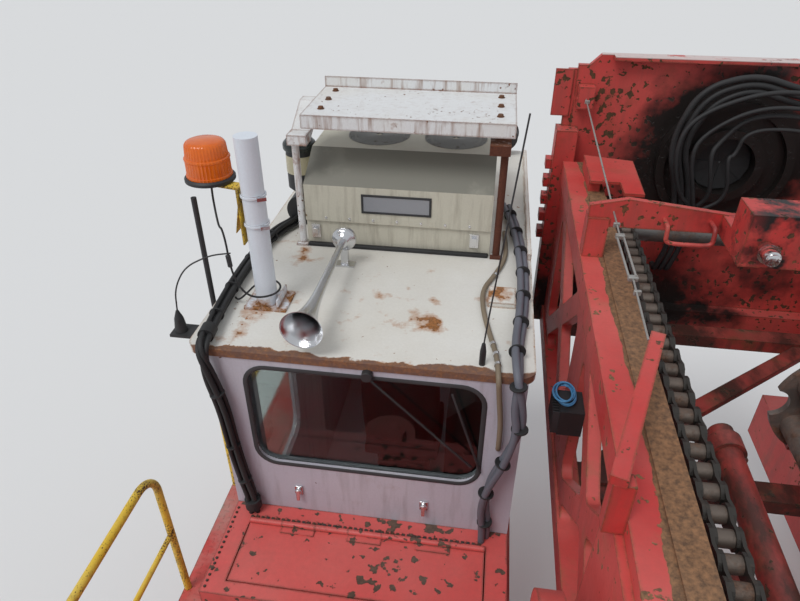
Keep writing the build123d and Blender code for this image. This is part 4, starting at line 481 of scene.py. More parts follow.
def inner_grease(tree):
    """Grease and dust flung off the chains, in long patches along the mast."""
    place = own_place(tree)
    stretched = add(tree, "Mapping", {"Vector": place, "Scale": (1.0, 0.45, 1.0)}).outputs[0]
    return ramp(tree, noise(tree, stretched, 3.2, 7.0, 0.65), 0.44, 0.56, 0.05, 0.85)


def lip_highlight(tree):
    """Painted highlight: a pale tone along the top of the foot's lip, in ragged lengths."""
    ragged = ramp(tree, noise(tree, own_place(tree), 5.0, 8.0, 0.7), 0.38, 0.44, 0.1, 0.95)
    return times(tree, ramp(tree, split(tree)["Z"], LIP_TOP - 0.004, LIP_TOP), ragged)


def toned(material, tones):
    """Lay further colours over a material, each by its own mask."""
    tree = material.node_tree
    colour = tree.nodes["Principled BSDF"].inputs["Base Color"]
    for mask, tone in tones:
        tree.links.new(mixed(tree, mask(tree), colour.links[0].from_socket, tone), colour)


toned(shaded_greasy_inner_paint, [(inner_grease, INNER_GREASE)])
# Painted highlight along the top of the foot's lip, laid over the greased paint.
toned(foot_paint, [(lip_highlight, LIP_HIGHLIGHT)])
coat(shaded_greasy_inner_paint, "mast_lower_face", "feed_cylinder")


# Feed chains
# Roller chain of 76 mm pitch, black with oil: outer and inner plates in turn, a roller and a pin at
# each joint. The links follow the same loop round the sprockets as the plain band that they replace.
CHAIN_PITCH, CHAIN_MIDDLE, CHAIN_AXLE = 0.0762, 0.649, 3.245
CHAIN_RADIUS, CHAIN_BACK, CHAIN_FRONT = 0.150, -5.480, 4.700
PLATE_HEIGHT, PLATE_THICK, ROLLER_WIDE, ROLLER_RADIUS, PIN_RADIUS = 0.068, 0.010, 0.046, 0.0255, 0.014


def link_plate(x):
    """Waisted link plate in the plane across X: two round ends joined by a narrower middle."""
    angle = np.linspace(-0.5 * np.pi, 0.5 * np.pi, 6)
    end = 0.5 * PLATE_HEIGHT * np.stack([np.cos(angle), np.sin(angle)], axis=1) + [CHAIN_PITCH / 2, 0]
    waist = np.array([[0, 0.36 * PLATE_HEIGHT]])
    return prism(np.vstack([end, waist, -end, -waist]), PLATE_THICK, (x, 0, 0), AHEAD, UP)


def carried(shape, middle, places, turns):
    """Copies of a shape along a loop: each point is turned about X by a copy's angle and moved there."""
    points, faces = shape
    cos, sin = np.cos(turns)[:, None], np.sin(turns)[:, None]
    moved = np.stack([np.broadcast_to(points[:, 0], (len(turns), len(points))) + middle,
                      cos * points[:, 1] - sin * points[:, 2] + places[:, 1:2],
                      sin * points[:, 1] + cos * points[:, 2] + places[:, 2:3]], axis=2)
    copies = [tuple(i + k * len(points) for i in face) for k in range(len(turns)) for face in faces]
    return moved.reshape(-1, 3), copies


def chain_links(middle):
    """Plates with pins, and rollers, of one chain: inner and outer plates in turn between the joints."""
    half_loop = CHAIN_FRONT - CHAIN_BACK + np.pi * CHAIN_RADIUS
    count = 2 * round(half_loop / CHAIN_PITCH)
    s = np.arange(count) * 2 * half_loop / count
    place, turn = loop_frames(s, CHAIN_BACK, CHAIN_FRONT, CHAIN_RADIUS, CHAIN_AXLE)
    step = np.roll(place, -1, axis=0) - place
    between, slope = place + step / 2, np.arctan2(step[:, 2], step[:, 1])
    inner, outer = ROLLER_WIDE / 2, ROLLER_WIDE / 2 + PLATE_THICK
    parts = []
    for first, x in ((0, inner), (0, -inner - PLATE_THICK), (1, outer), (1, -outer - PLATE_THICK)):
        parts.append(carried(link_plate(x), middle, between[first::2], slope[first::2]))
    pin_half = outer + PLATE_THICK + 0.004
    pin = prism(ring_outline(PIN_RADIUS, 8), 2 * pin_half, (-pin_half, 0, 0), AHEAD, UP)
    roller = prism(ring_outline(ROLLER_RADIUS, 12), ROLLER_WIDE, (-ROLLER_WIDE / 2, 0, 0), AHEAD, UP)
    parts.append(carried(pin, middle, place, turn))
    return parts, [carried(roller, middle, place, turn)]


oily_steel = metal("oily chain steel", (0.055, 0.05, 0.045), (0.075, 0.045, 0.03), 0.25, 9.0, 0.38, 0.7)
roller_steel = metal("brown roller steel", (0.15, 0.12, 0.10), (0.15, 0.08, 0.05), 0.5, 9.0, 0.4, 0.6)
for side, sign in (("right", 1), ("left", -1)):
    links, rollers = chain_links(sign * CHAIN_MIDDLE)
    chain = piece(f"feed_chain_{side}", links, oily_steel, "mast", smooth=30)
    piece(f"feed_chain_rollers_{side}", rollers, roller_steel, "mast", smooth=50)
    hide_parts("feed_chains")


# Drill rods and carousel
# Rods worn bright by the cups that hold them, and rusty between.
rod_steel = metal("drill rod steel", (0.26, 0.24, 0.22), (0.22, 0.10, 0.055), 0.75, 2.2)
coat(rod_steel, "carousel")


# Handrails
# Bent yellow tube, the paint broken by rust where hands and boots have worn it.
yellow_paint = painted("chipped yellow paint", (0.80, 0.52, 0.02), (0.82, 0.60, 0.10),
                       rust=(0.11, 0.050, 0.025), chips=0.30, stains=0.45, size=2.2, dust=0.05,
                       flakes=1.0, flake_scale=60.0)
coat(yellow_paint, "handrails")


# Cab shell
# Pressed panels in lavender grey paint over a light primer, stained by drips from the roof edge.
grey_paint = painted("lavender grey paint", (0.50, 0.49, 0.56), (0.58, 0.57, 0.62), rust=(0.26, 0.16, 0.11),
                     dirt=(0.20, 0.18, 0.18), chips=0.05, edges=0.12, stains=0.25, grime=0.35, dust=0.1,
                     size=1.7)
coat(grey_paint, "cab_floor", "cab_wall_near", "cab_wall_far", "cab_wall_right", "cab_wall_left", "cab_door")


# Cab roof
# White roof paint, walked on for years: rust comes through in round spots with an orange halo,
# along the front edge and round the post's base.
SPOTS = ((-1.560, 4.020, 0.040), (-1.755, 3.790, 0.030), (-1.560, 3.640, 0.060), (-1.505, 3.580, 0.050),
         (-1.500, 3.740, 0.035), (-2.150, 4.060, 0.060), (-2.200, 3.640, 0.090), (-1.360, 3.640, 0.020),
         (-1.245, 3.830, 0.070), (-2.260, 3.420, 0.060), (-1.880, 3.620, 0.016), (-1.650, 3.860, 0.014))
SPOT_BREAK, EDGE_STRIP, ROOF = 0.10, 3.330, 3.320


def near_strip(tree, softness, top=1.0):
    """A strip along the near edge, with a border that wanders by noise: top on it and 0 off it."""
    border = times(tree, noise(tree, own_place(tree), 5.0, 6.0), 0.14,
                   counted(tree, "ADD", split(tree)["Y"], -0.07))
    return ramp(tree, border, EDGE_STRIP + softness, EDGE_STRIP - softness, 0.0, top)


def roof_spots(tree):
    """Wear about each spot: falls from 0.24 at its middle to 0 at twice its size, broken up by noise.
    The strip along the near edge is worn through."""
    place = own_place(tree)
    breaking = add(tree, "TexNoise", {"Vector": place, "Scale": 9.0, "Detail": 6.0}).outputs["Color"]
    broken = vector_math(tree, "SCALE", breaking, Scale=SPOT_BREAK)[0]
    shifted = vector_math(tree, "ADD", place, broken)[0]
    total = near_strip(tree, 0.008, 0.5)
    for x, y, size in SPOTS:
        middle = np.array([x, y, ROOF]) + SPOT_BREAK / 2
        away = vector_math(tree, "DISTANCE", shifted, middle)["Value"]
        total = counted(tree, "MAXIMUM", total, ramp(tree, away, 2.0 * size, 0.3 * size, 0.0, 0.24))
    return total


def strip_tone(tree):
    """Darker, browner rust over the near edge than in the spots."""
    mottled = ramp(tree, noise(tree, own_place(tree), 30.0, 5.0, 0.7), 0.42, 0.58, 0.45, 0.9)
    return times(tree, near_strip(tree, 0.004), mottled)


roof_paint = painted("white roof paint with rust spots", (0.77, 0.76, 0.72), (0.70, 0.67, 0.60),
                     rust=(0.42, 0.17, 0.05), dirt=(0.36, 0.31, 0.25), chips=-0.05, edges=0.30, stains=0.85,
                     grime=0.12, dust=0.12, size=1.5, flakes=0.4, flake_scale=34.0, wear_mask=roof_spots)
toned(roof_paint, [(strip_tone, (0.155, 0.088, 0.070, 1))])
coat(roof_paint, "cab_roof")


# Cab glass, plastics and rubber
# Tinted toughened glass in rubber channels. The drill console behind it, the lamps, the antennas and
# the fan are black plastic, and the hoses are black rubber; all have gone dusty.
glass = shader("tinted glass", Base_Color=(0.62, 0.68, 0.66, 1), Roughness=0.03, IOR=1.45,
               Transmission_Weight=1.0)[0]
coat(glass, "cab_glass", "cab_door_glass")


def plastic(name, colour, roughness=0.5, grain_scale=300.0, bump=0.0004):
    """Moulded or sewn dark covering: one colour with dusty lighter patches and a fine even grain."""
    material, principled = shader(name)
    tree = material.node_tree
    place = own_place(tree)
    dusty = ramp(tree, noise(tree, place, 3.0, 8.0, 0.65), 0.45, 0.75, 0.0, 0.35)
    lighter = tuple(min(1.0, 1.6 * c + 0.05) for c in colour)
    grain = noise(tree, place, grain_scale, 2.0)
    feed(principled, Base_Color=mixed(tree, dusty, (*colour, 1), (*lighter, 1)),
         Roughness=ramp(tree, dusty, 0, 0.35, roughness, roughness + 0.25),
         Normal=add(tree, "Bump", {"Height": grain, "Distance": bump}).outputs[0])
    return material


black_plastic = plastic("black plastic", (0.022, 0.022, 0.024))
rubber = plastic("black rubber", (0.016, 0.016, 0.017), 0.62, 180.0)
grey_rubber = plastic("grey conduit", (0.115, 0.12, 0.145), 0.5, 220.0)
seat_cloth = plastic("seat covering", (0.05, 0.045, 0.05), 0.8, 420.0, 0.0008)
coat(black_plastic, "fan", "antennas", "lamps", "cab_console")
coat(rubber, "mast_hoses")


# Operator's seat
# Two foam cushions in black cloth, sewn across in channels, on a bellows base. They keep inside the
# plain solid that they stand for.
SEAT_X, SEAT_Y, SEAT_FLOOR = -1.733, 4.455, 1.420
BELLOWS, BELLOWS_STEP, BELLOWS_HALF, BELLOWS_Y = 9, 0.034, (0.142, 0.166), 0.075
PAD_Y, PAD_Z, PAD_HALF = 0.065, 0.390, (0.255, 0.262, 0.068)
BACK_Y, BACK_Z, BACK_HALF, BACK_LEAN = -0.166, 0.770, (0.246, 0.325, 0.056), (0, 0.075, -0.66)
PAD_CUTS, PAD_ROUND, PAD_CROWN, PAD_PULL = 30, 0.30, 0.30, 0.05
CHANNEL_PITCH, CHANNEL_HALF, CHANNEL_DEPTH = 0.105, 0.012, 0.016


def cushion(centre, half, along):
    """A stuffed cushion: crowned faces, sides pulled in between the corners and channels sewn across."""
    soft = bmesh.new()
    bmesh.ops.create_cube(soft, size=2.0)
    bmesh.ops.subdivide_edges(soft, edges=soft.edges, cuts=PAD_CUTS, use_grid_fill=True)
    soft.verts.index_update()
    faces = [[corner.index for corner in face.verts] for face in soft.faces]
    cube = np.array([corner.co for corner in soft.verts])
    soft.free()
    one, other = cube[:, [1, 2, 0]] ** 2, cube[:, [2, 0, 1]] ** 2
    ball = cube * np.sqrt(1 - one / 2 - other / 2 + one * other / 3)
    x, y, z = ((1 - PAD_ROUND) * cube + PAD_ROUND * ball).T
    swell = 1 - PAD_CROWN + PAD_CROWN * (1 - x ** 2) * (1 - y ** 2)
    x, y, z = x * (1 - PAD_PULL * (1 - y ** 2)), y * (1 - PAD_PULL * (1 - x ** 2)), z * swell
    x, y, z = x * half[0], y * half[1], z * half[2]
    gap = (y + CHANNEL_PITCH / 2) % CHANNEL_PITCH - CHANNEL_PITCH / 2
    z -= CHANNEL_DEPTH * np.exp(-(gap / CHANNEL_HALF) ** 2) * (z > 0)
    along = np.asarray(along, float) / np.linalg.norm(along)
    out = np.cross(ACROSS, along)
    return np.asarray(centre) + x[:, None] * ACROSS + y[:, None] * along + z[:, None] * out, faces


base = [prism(oblong(BELLOWS_HALF[i % 2], BELLOWS_HALF[i % 2]), BELLOWS_STEP,
              (SEAT_X, SEAT_Y + BELLOWS_Y, SEAT_FLOOR + i * BELLOWS_STEP)) for i in range(BELLOWS)]
pad = cushion((SEAT_X, SEAT_Y + PAD_Y, SEAT_FLOOR + PAD_Z), PAD_HALF, AHEAD)
back = cushion((SEAT_X, SEAT_Y + BACK_Y, SEAT_FLOOR + BACK_Z), BACK_HALF, BACK_LEAN)
piece("seat_base", base, black_plastic, bevel=0.006)
seat_pad = piece("seat_pad", [pad], seat_cloth)
seat_back = piece("seat_back", [back], seat_cloth)
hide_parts("cab_seat")


# Window seals
# A rubber channel round the pane of the near wall, standing a little proud of the panel.
NEAR_WINDOW = (-2.212, -1.270, 2.720, 3.250)
WINDOW_ROUND, SEAL_HALF, SEAL_PROUD = 0.09, 0.010, 0.004
WALL_FACE = 3.305


def round_box_path(x0, x1, z0, z1, radius, per_corner=8):
    """Points round a rounded rectangle and the outward direction at each: four quarter circles."""
    angle = np.linspace(0, np.pi / 2, per_corner)
    points, outward = [], []
    for k, (cx, cz) in enumerate(((x1 - radius, z1 - radius), (x0 + radius, z1 - radius),
                                  (x0 + radius, z0 + radius), (x1 - radius, z0 + radius))):
        way = np.stack([np.cos(angle + k * np.pi / 2), np.sin(angle + k * np.pi / 2)], axis=1)
        points.append(np.array([cx, cz]) + radius * way)
        outward.append(way)
    return np.vstack(points), np.vstack(outward)


def grid_faces(rows, columns, closed=True):
    """Quads of a grid numbered row by row, round each row and, where closed, from last row to first."""
    index = np.arange(rows * columns).reshape(rows, columns)
    if closed:
        index = np.vstack([index, index[:1]])
    index = np.hstack([index, index[:, :1]])
    corners = [index[:-1, :-1], index[1:, :-1], index[1:, 1:], index[:-1, 1:]]
    return np.stack(corners, axis=-1).reshape(-1, 4).tolist()


def seal(window, y):
    """A bead round a window: an oval profile (out, depth) carried along the rounded rectangle."""
    path, outward = round_box_path(*window, WINDOW_ROUND)
    angle = np.linspace(0, 2 * np.pi, 10, endpoint=False)
    out, deep = SEAL_HALF * np.cos(angle), SEAL_PROUD * np.sin(angle)
    flat = path[:, None, :] + outward[:, None, :] * out[None, :, None]
    depth = np.broadcast_to(y - deep, (len(path), len(angle)))
    grid = np.stack([flat[..., 0], depth, flat[..., 1]], axis=-1)
    return grid.reshape(-1, 3), grid_faces(len(path), len(angle))


seal_rubber = plastic("weathered seal", (0.040, 0.038, 0.040), 0.85, 180.0)
piece("window_seal", [seal(NEAR_WINDOW, WALL_FACE - 0.001)], seal_rubber)


# Wipers and window catches
# Two dark wiper arms lie crossed on the near pane, the longer one on a round boss, and two small
# catches sit under the pane.
ARM_WIDTH, ARM_DEPTH = 0.009, 0.007
WIPERS = ((-1.717, 3.262, -1.300, 2.842), (-1.395, 3.225, -1.262, 2.815))
BOSS, BOSS_RADIUS = (-1.717, WALL_FACE, 3.272), 0.022
CATCHES = ((-2.046, 2.565), (-1.490, 2.560))


def bar(start, end, width, depth, up=AHEAD):
    """A straight bar of flat section from start to end; up is the direction of its depth."""
    start, end, up = (np.asarray(p, float) for p in (start, end, up))
    along = (end - start) / np.linalg.norm(end - start)
    side = np.cross(up, along)
    side /= np.linalg.norm(side)
    up = np.cross(along, side)
    return prism(oblong(width / 2, depth / 2), np.linalg.norm(end - start), start, side, up)


arms = [bar((x0, WALL_FACE - 0.016, z0), (x1, WALL_FACE - 0.016, z1), ARM_WIDTH, ARM_DEPTH)
        for x0, z0, x1, z1 in WIPERS]
arms.append(prism(ring_outline(BOSS_RADIUS, 16), 0.03, BOSS, ACROSS, UP))
piece("wiper_arms", arms, black_plastic, bevel=0.002)
bright = metal("bright plated steel", (0.72, 0.72, 0.73), (0.3, 0.2, 0.12), 0.12, roughness=0.14,
               metallic=1.0)
catches = []
for x, z in CATCHES:
    catches.append(bar((x, WALL_FACE - 0.004, z + 0.024), (x, WALL_FACE - 0.004, z - 0.028), 0.036, 0.007))
    catches.append(prism(ring_outline(0.014, 20), 0.014, (x, WALL_FACE - 0.007, z), ACROSS, UP))
    catches.append(bar((x, WALL_FACE - 0.018, z + 0.008), (x, WALL_FACE - 0.026, z - 0.044), 0.016, 0.007))
piece("window_catches", catches, bright, bevel=0.002)


# Hood in front of the cab
# Red sheet steel with the paint off in flakes, and a piano hinge with a row of small bolts.
hood_paint = painted("flaking hood paint", (0.68, 0.075, 0.070), (0.74, 0.16, 0.14), rust=(0.13, 0.075, 0.05),
                     chips=0.36, stains=0.15, dust=0.08, size=0.8, bump=0.003, flakes=0.85, grime=0.15,
                     flake_scale=26.0)
coat(hood_paint, "hood_box", "hood_lid")
HINGE_Y, HINGE_TOP, HINGE_ENDS, HINGE_PITCH = 3.203, 2.4355, (-2.250, -1.216), 0.0235
RIVET_X, RIVET_ENDS, RIVET_PITCH = -2.330, (2.875, 3.290), 0.026
hinge_bolts = [part for x in np.arange(HINGE_ENDS[0] + 0.012, HINGE_ENDS[1], 2 * HINGE_PITCH)
               for part in bolt((x, HINGE_Y + 0.030, HINGE_TOP), ACROSS, AHEAD, 0.007, 0.006)]
rivets = [part for y in np.arange(*RIVET_ENDS, RIVET_PITCH)
          for part in bolt((RIVET_X, y, HINGE_TOP), ACROSS, AHEAD, 0.0048, 0.004)]
teeth = [bar((x, HINGE_Y + 0.016, HINGE_TOP + 0.003), (x, HINGE_Y + 0.031, HINGE_TOP + 0.003),
             HINGE_PITCH * 0.62, 0.006, UP) for x in np.arange(*HINGE_ENDS, HINGE_PITCH)]
dark_steel = metal("dark rusted steel", (0.10, 0.085, 0.08), (0.13, 0.06, 0.035), 0.8, 14.0)
piece("hood_hinge_bolts", hinge_bolts, hood_paint)
piece("hood_hinge_teeth", teeth, dark_steel, bevel=0.001)
piece("hood_edge_rivets", rivets, dark_steel)


# White post
# Steel tube painted a cold white, rusty where it stands in water on its base plate.
POST = (-2.210, 3.640, 0)


def post_wear(tree):
    """Wear that sets in towards the foot of the post."""
    return ramp(tree, split(tree)["Z"], 3.45, 3.33, 0.0, 0.30)


post_paint = painted("cold white paint", (0.72, 0.77, 0.84), (0.68, 0.72, 0.78), rust=(0.40, 0.17, 0.05),
                     dirt=(0.42, 0.42, 0.42), chips=-0.3, edges=0.12, stains=0.9, grime=0.12, dust=0.05,
                     size=2.0, wear_mask=post_wear)
coat(post_paint, "roof_tube")


# Rooftop air conditioner
# Folded sheet metal casing in cream paint. The sloped panel is rubbed down to dull metal, and the
# blower and pre-cleaner beside the unit are black.
cream_paint = painted("rubbed cream paint", (0.58, 0.555, 0.46), (0.44, 0.42, 0.34), rust=(0.27, 0.17, 0.08),
                      dirt=(0.20, 0.165, 0.12), chips=-0.1, edges=0.2, stains=0.45, grime=0.4, dust=0.1,
                      size=2.5, bump=0.0008)
coat(cream_paint, "roof_aircon")
AC_LEFT, AC_RIGHT, AC_FRONT, AC_SPLIT = -2.179, -1.294, 4.173, 3.455
SLOPE_NORMAL = (0.35, 0.96)
RUBBED_METAL = (0.20, 0.195, 0.165, 1)
CLEANER_BLACK = (0.018, 0.018, 0.020, 1)


def slope_mask(tree):
    """Faces that lean back, neither upright nor level, in patches that thin out."""
    up = split(tree, add(tree, "NewGeometry").outputs["Normal"])["Z"]
    leaning = times(tree, ramp(tree, up, SLOPE_NORMAL[0], SLOPE_NORMAL[0] + 0.05),
                    ramp(tree, up, SLOPE_NORMAL[1] + 0.02, SLOPE_NORMAL[1]))
    thinning = ramp(tree, noise(tree, own_place(tree), 3.0, 8.0, 0.65), 0.22, 0.45, 0.45, 0.95)
    return times(tree, leaning, thinning)


def blower_mask(tree):
    """All that stands left of the casing."""
    return ramp(tree, split(tree)["X"], AC_LEFT - 0.001, AC_LEFT - 0.002)


toned(cream_paint, [(slope_mask, RUBBED_METAL), (blower_mask, CLEANER_BLACK)])


# Catches and foot seal of the air conditioner
# The lower front panel is held by a spring catch at each end and a row of small screws, and a black
# rubber strip seals the casing's foot to the roof.
STRIP_HALF = 0.009
strip = [bar((AC_LEFT + 0.005, AC_FRONT - 0.002, ROOF + STRIP_HALF),
             (AC_RIGHT - 0.005, AC_FRONT - 0.002, ROOF + STRIP_HALF), 2 * STRIP_HALF, 0.024)]
piece("aircon_foot_seal", strip, rubber, bevel=0.005)
fittings = []
for x in (AC_LEFT + 0.045, AC_RIGHT - 0.075):
    face = AC_FRONT + 0.012
    fittings.append(bar((x, face - 0.004, 3.432), (x, face - 0.004, 3.362), 0.042, 0.008))
    fittings.append(bar((x, face - 0.016, 3.418), (x, face - 0.016, 3.380), 0.024, 0.018))
    fittings += bolt((x, face - 0.008, 3.372), ACROSS, UP, 0.006, 0.005)
for x in np.linspace(AC_LEFT + 0.10, AC_RIGHT - 0.10, 7):
    fittings += bolt((x, AC_FRONT, AC_SPLIT + 0.018), ACROSS, UP, 0.005, 0.004)
piece("aircon_catches", fittings, bright, bevel=0.001)


# Blank plate on the air conditioner
# A thin brushed plate with a raised dark border, riveted to the front panel.
PLATE_X, PLATE_Z, BORDER, BORDER_Y = (-1.905, -1.575), (3.510, 3.605), 0.010, AC_FRONT - 0.002
border = [bar((PLATE_X[0], BORDER_Y, z), (PLATE_X[1], BORDER_Y, z), BORDER, 0.006)
          for z in (PLATE_Z[0] + BORDER / 2, PLATE_Z[1] - BORDER / 2)]
border += [bar((x, BORDER_Y, PLATE_Z[0] + 0.0101), (x, BORDER_Y, PLATE_Z[1] - 0.0101), BORDER, 0.006)
           for x in (PLATE_X[0] + BORDER / 2, PLATE_X[1] - BORDER / 2)]
piece("aircon_plate_border", border, black_plastic, bevel=0.001)
plate_ends = [(x, AC_FRONT - 0.001, sum(PLATE_Z) / 2) for x in (PLATE_X[0] + BORDER, PLATE_X[1] - BORDER)]
field = [bar(*plate_ends, PLATE_Z[1] - PLATE_Z[0] - 2 * BORDER, 0.003)]
plate_metal = metal("brushed plate", (0.34, 0.35, 0.38), (0.20, 0.17, 0.14), 0.15, 6.0, 0.42, 0.6)
piece("aircon_plate", field, plate_metal, bevel=0.0005)


# Fan screens
# Two round openings covered with woven dark wire: fine rings and spokes over a black well.
FAN_CENTRES, FAN_MIDDLE, FAN_TOP, FAN_ROUND = (-1.885, -1.500), 4.580, 3.752, 0.153
WIRE_RINGS, WIRE_SPOKES, WIRE_HALF = 16, 56, 0.0014


def ring_profile(inner, outer, low, high):
    """Profile of a flat ring: (radius, height) of its four corners."""
    return [(inner, low), (outer, low), (outer, high), (inner, high)]


def turned(profile, centre, count=48, ribs=0, rib_height=0.0, upright=True, closed=False):
    """A profile of (radius, height) turned about an upright axis through the centre, or about one
    along Y, with optional ribs: the radius swells by rib_height times a cosine, ribs times round."""
    profile = np.asarray(profile, float)
    angle = 2 * np.pi * np.arange(count) / count
    radius = profile[:, :1] + rib_height * np.cos(ribs * angle)[None, :] * (profile[:, :1] > 0.03)
    height = np.broadcast_to(profile[:, 1:], radius.shape)
    x, other = radius * np.cos(angle), radius * np.sin(angle)
    grid = np.stack([x, other, height] if upright else [x, height, other], axis=-1) + np.asarray(centre)
    return grid.reshape(-1, 3), grid_faces(len(profile), count, closed)


screens, wells = [], []
for x in FAN_CENTRES:
    for radius in np.linspace(0.02, FAN_ROUND, WIRE_RINGS):
        wire = ring_profile(radius - WIRE_HALF, radius + WIRE_HALF, 0.002 - WIRE_HALF, 0.002 + WIRE_HALF)
        screens.append(turned(wire, (x, FAN_MIDDLE, FAN_TOP), closed=True))
    centre = np.array([x, FAN_MIDDLE, FAN_TOP + 0.0005])
    for angle in np.linspace(0, 2 * np.pi, WIRE_SPOKES, endpoint=False):
        way = np.array([math.cos(angle), math.sin(angle), 0])
        screens.append(bar(centre + 0.02 * way, centre + FAN_ROUND * way, 2 * WIRE_HALF, 2 * WIRE_HALF, UP))
    wells.append(prism(ring_outline(FAN_ROUND, 48), 0.004, (x, FAN_MIDDLE, FAN_TOP - 0.029)))
screen_wire = metal("dull screen wire", (0.36, 0.36, 0.35), (0.20, 0.15, 0.11), 0.3, 20.0, 0.5, 0.5)
piece("aircon_fan_screens", screens, screen_wire)
well_grey = plastic("fan well", (0.050, 0.050, 0.052), 0.6)
piece("aircon_fan_wells", wells, well_grey)


# Pre-cleaner bowl
# The intake's clear bowl has gone milky, under a glossy black cap with a rolled rim.
CLEANER = (-2.262, 4.430, 0)
bowl_profile = [(0.0, 3.600), (0.0716, 3.600), (0.0722, 3.612), (0.0716, 3.690), (0.0, 3.690)]
cap_profile = [(0.0, 3.716), (0.0790, 3.716), (0.0820, 3.722), (0.0820, 3.742), (0.0760, 3.752),
               (0.0520, 3.778), (0.020, 3.787), (0.0, 3.788)]
milky = plastic("milky bowl", (0.42, 0.38, 0.26), 0.25, 90.0)
piece("precleaner_bowl", [turned(bowl_profile, CLEANER)], milky)
glossy_black = plastic("glossy black cap", (0.012, 0.018, 0.016), 0.12, 60.0, 0.0001)
piece("precleaner_cap", [turned(cap_profile, CLEANER)], glossy_black)


# Guard shelf over the air conditioner
# White painted plate with a lip down in front and up behind, streaked with rust from its edges and
# bolts. Of its two posts the right one has lost its paint.
POST_HEAD, BARE_BROWN = 3.885, (0.075, 0.020, 0.014, 1)
SHELF_LEFT, SHELF_RIGHT, SHELF_FRONT, SHELF_BACK, SHELF_TOP = -2.160, -1.225, 4.150, 4.620, 3.971


def post_mask(left, right):
    """Mask of the posts below the shelf's brackets, at one value on the left and one on the right."""
    def mask(tree):
        x, _, z = split(tree)
        return times(tree, ramp(tree, z, POST_HEAD, POST_HEAD - 0.01), ramp(tree, x, -1.5, -1.4, left, right))
    return mask


guard_paint = painted("rust streaked white paint", (0.78, 0.80, 0.81), (0.74, 0.72, 0.66),
                      rust=(0.25, 0.085, 0.03), dirt=(0.23, 0.095, 0.035), chips=0.05, edges=0.42, stains=1.0,
                      grime=0.85, dust=0.08, size=2.4, flakes=0.5, flake_scale=22.0,
                      wear_mask=post_mask(0.10, 0.55))
toned(guard_paint, [(post_mask(0.0, 0.75), BARE_BROWN)])
coat(guard_paint, "aircon_guard")
rusty_steel = metal("rusted fixings", (0.20, 0.13, 0.09), (0.22, 0.09, 0.04), 0.9, 12.0)
shelf_bolts = [part for x in (SHELF_LEFT + 0.07, SHELF_RIGHT - 0.07)
               for y in np.linspace(SHELF_FRONT + 0.10, SHELF_BACK - 0.08, 3)
               for part in bolt((x, y, SHELF_TOP), ACROSS, AHEAD, 0.012, 0.009)]
piece("guard_shelf_bolts", shelf_bolts, rusty_steel)


# Beacon
# An amber lens in two ribbed tiers on a black rim, held out from the white post by a yellow bracket.
BEACON = (-2.400, 3.700, 0)
RIM_LOW, RIM_TOP, LENS_TOP = 3.845, 3.865, 4.005
LENS_RIBS, RIB_HEIGHT = 40, 0.0011
POST_RADIUS, STRAP_WIDE, STRAP_THICK = 0.0445, 0.058, 0.007

amber, amber_shader = shader("amber lens", Base_Color=(0.95, 0.20, 0.015, 1), Roughness=0.16, IOR=1.49,
                             Transmission_Weight=0.25)
amber_tree = amber.node_tree
glow = noise(amber_tree, own_place(amber_tree), 30.0, 2.0, 0.5)
feed(amber_shader, Base_Color=mixed(amber_tree, glow, (1.0, 0.22, 0.015, 1), (0.80, 0.13, 0.01, 1)))
lens_profile = [(0.0, RIM_TOP), (0.088, RIM_TOP), (0.088, RIM_TOP + 0.010), (0.085, RIM_TOP + 0.012),
                (0.084, RIM_TOP + 0.066), (0.087, RIM_TOP + 0.069), (0.086, RIM_TOP + 0.076),
                (0.081, RIM_TOP + 0.079), (0.077, RIM_TOP + 0.124), (0.070, LENS_TOP - 0.006),
                (0.058, LENS_TOP - 0.0015), (0.0, LENS_TOP)]
lens = piece("beacon_lens", [turned(lens_profile, BEACON, 120, LENS_RIBS, RIB_HEIGHT)], amber)
rim_profile = [(0.0, RIM_LOW), (0.070, RIM_LOW), (0.098, RIM_LOW + 0.003), (0.098, RIM_TOP - 0.006),
               (0.092, RIM_TOP + 0.001), (0.0, RIM_TOP + 0.001)]
piece("beacon_rim", [turned(rim_profile, BEACON, 64)], black_plastic)
strap_x = POST[0] - POST_RADIUS - 0.006
bracket_parts = [bar((strap_x - 0.004, 3.64, 3.61), (strap_x - 0.004, 3.64, RIM_LOW - 0.001), STRAP_THICK,
                     STRAP_WIDE),
                 bar((strap_x, 3.655, RIM_LOW - 0.005), (BEACON[0] - 0.02, 3.690, RIM_LOW - 0.005), STRAP_WIDE,
                     STRAP_THICK, UP),
                 bar((strap_x - 0.030, 3.64, 3.66), (strap_x - 0.002, 3.64, 3.80), 0.004, 0.05)]
piece("beacon_bracket", bracket_parts, yellow_paint, bevel=0.001)
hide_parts("beacon")


# Band clamps on the white post
# Two stainless worm-drive bands hold the bracket, each with its screw housing at the back.
BAND_HEIGHTS, BAND_HALF = (3.700, 3.820), 0.007
bands = []
for z in BAND_HEIGHTS:
    band = ring_profile(POST_RADIUS + 0.0001, POST_RADIUS + 0.0017, z - BAND_HALF, z + BAND_HALF)
    bands.append(turned(band, POST, 40))
    screw = (POST[0] + 0.03, POST[1] - 0.046, z), (POST[0] + 0.062, POST[1] - 0.030, z)
    bands.append(bar(*screw, 0.014, 0.016))
piece("post_bands", bands, bright)


# Air horn
# A long plated trumpet: a drum with the diaphragm behind, a slender tapered tube and a wide bell.
HORN_X, HORN_Z, BELL_Y, DRUM_Y = -1.955, 3.455, 3.292, 3.985
horn_chrome = metal("dulled chrome", (0.66, 0.665, 0.68), (0.24, 0.20, 0.17), 0.10, 14.0, 0.10, 1.0)


def flare(share):
    """Radius of the trumpet at a share of its length: a slow taper and a ninth power for the bell."""
    return 0.0125 + 0.012 * share + 0.0575 * share ** 9


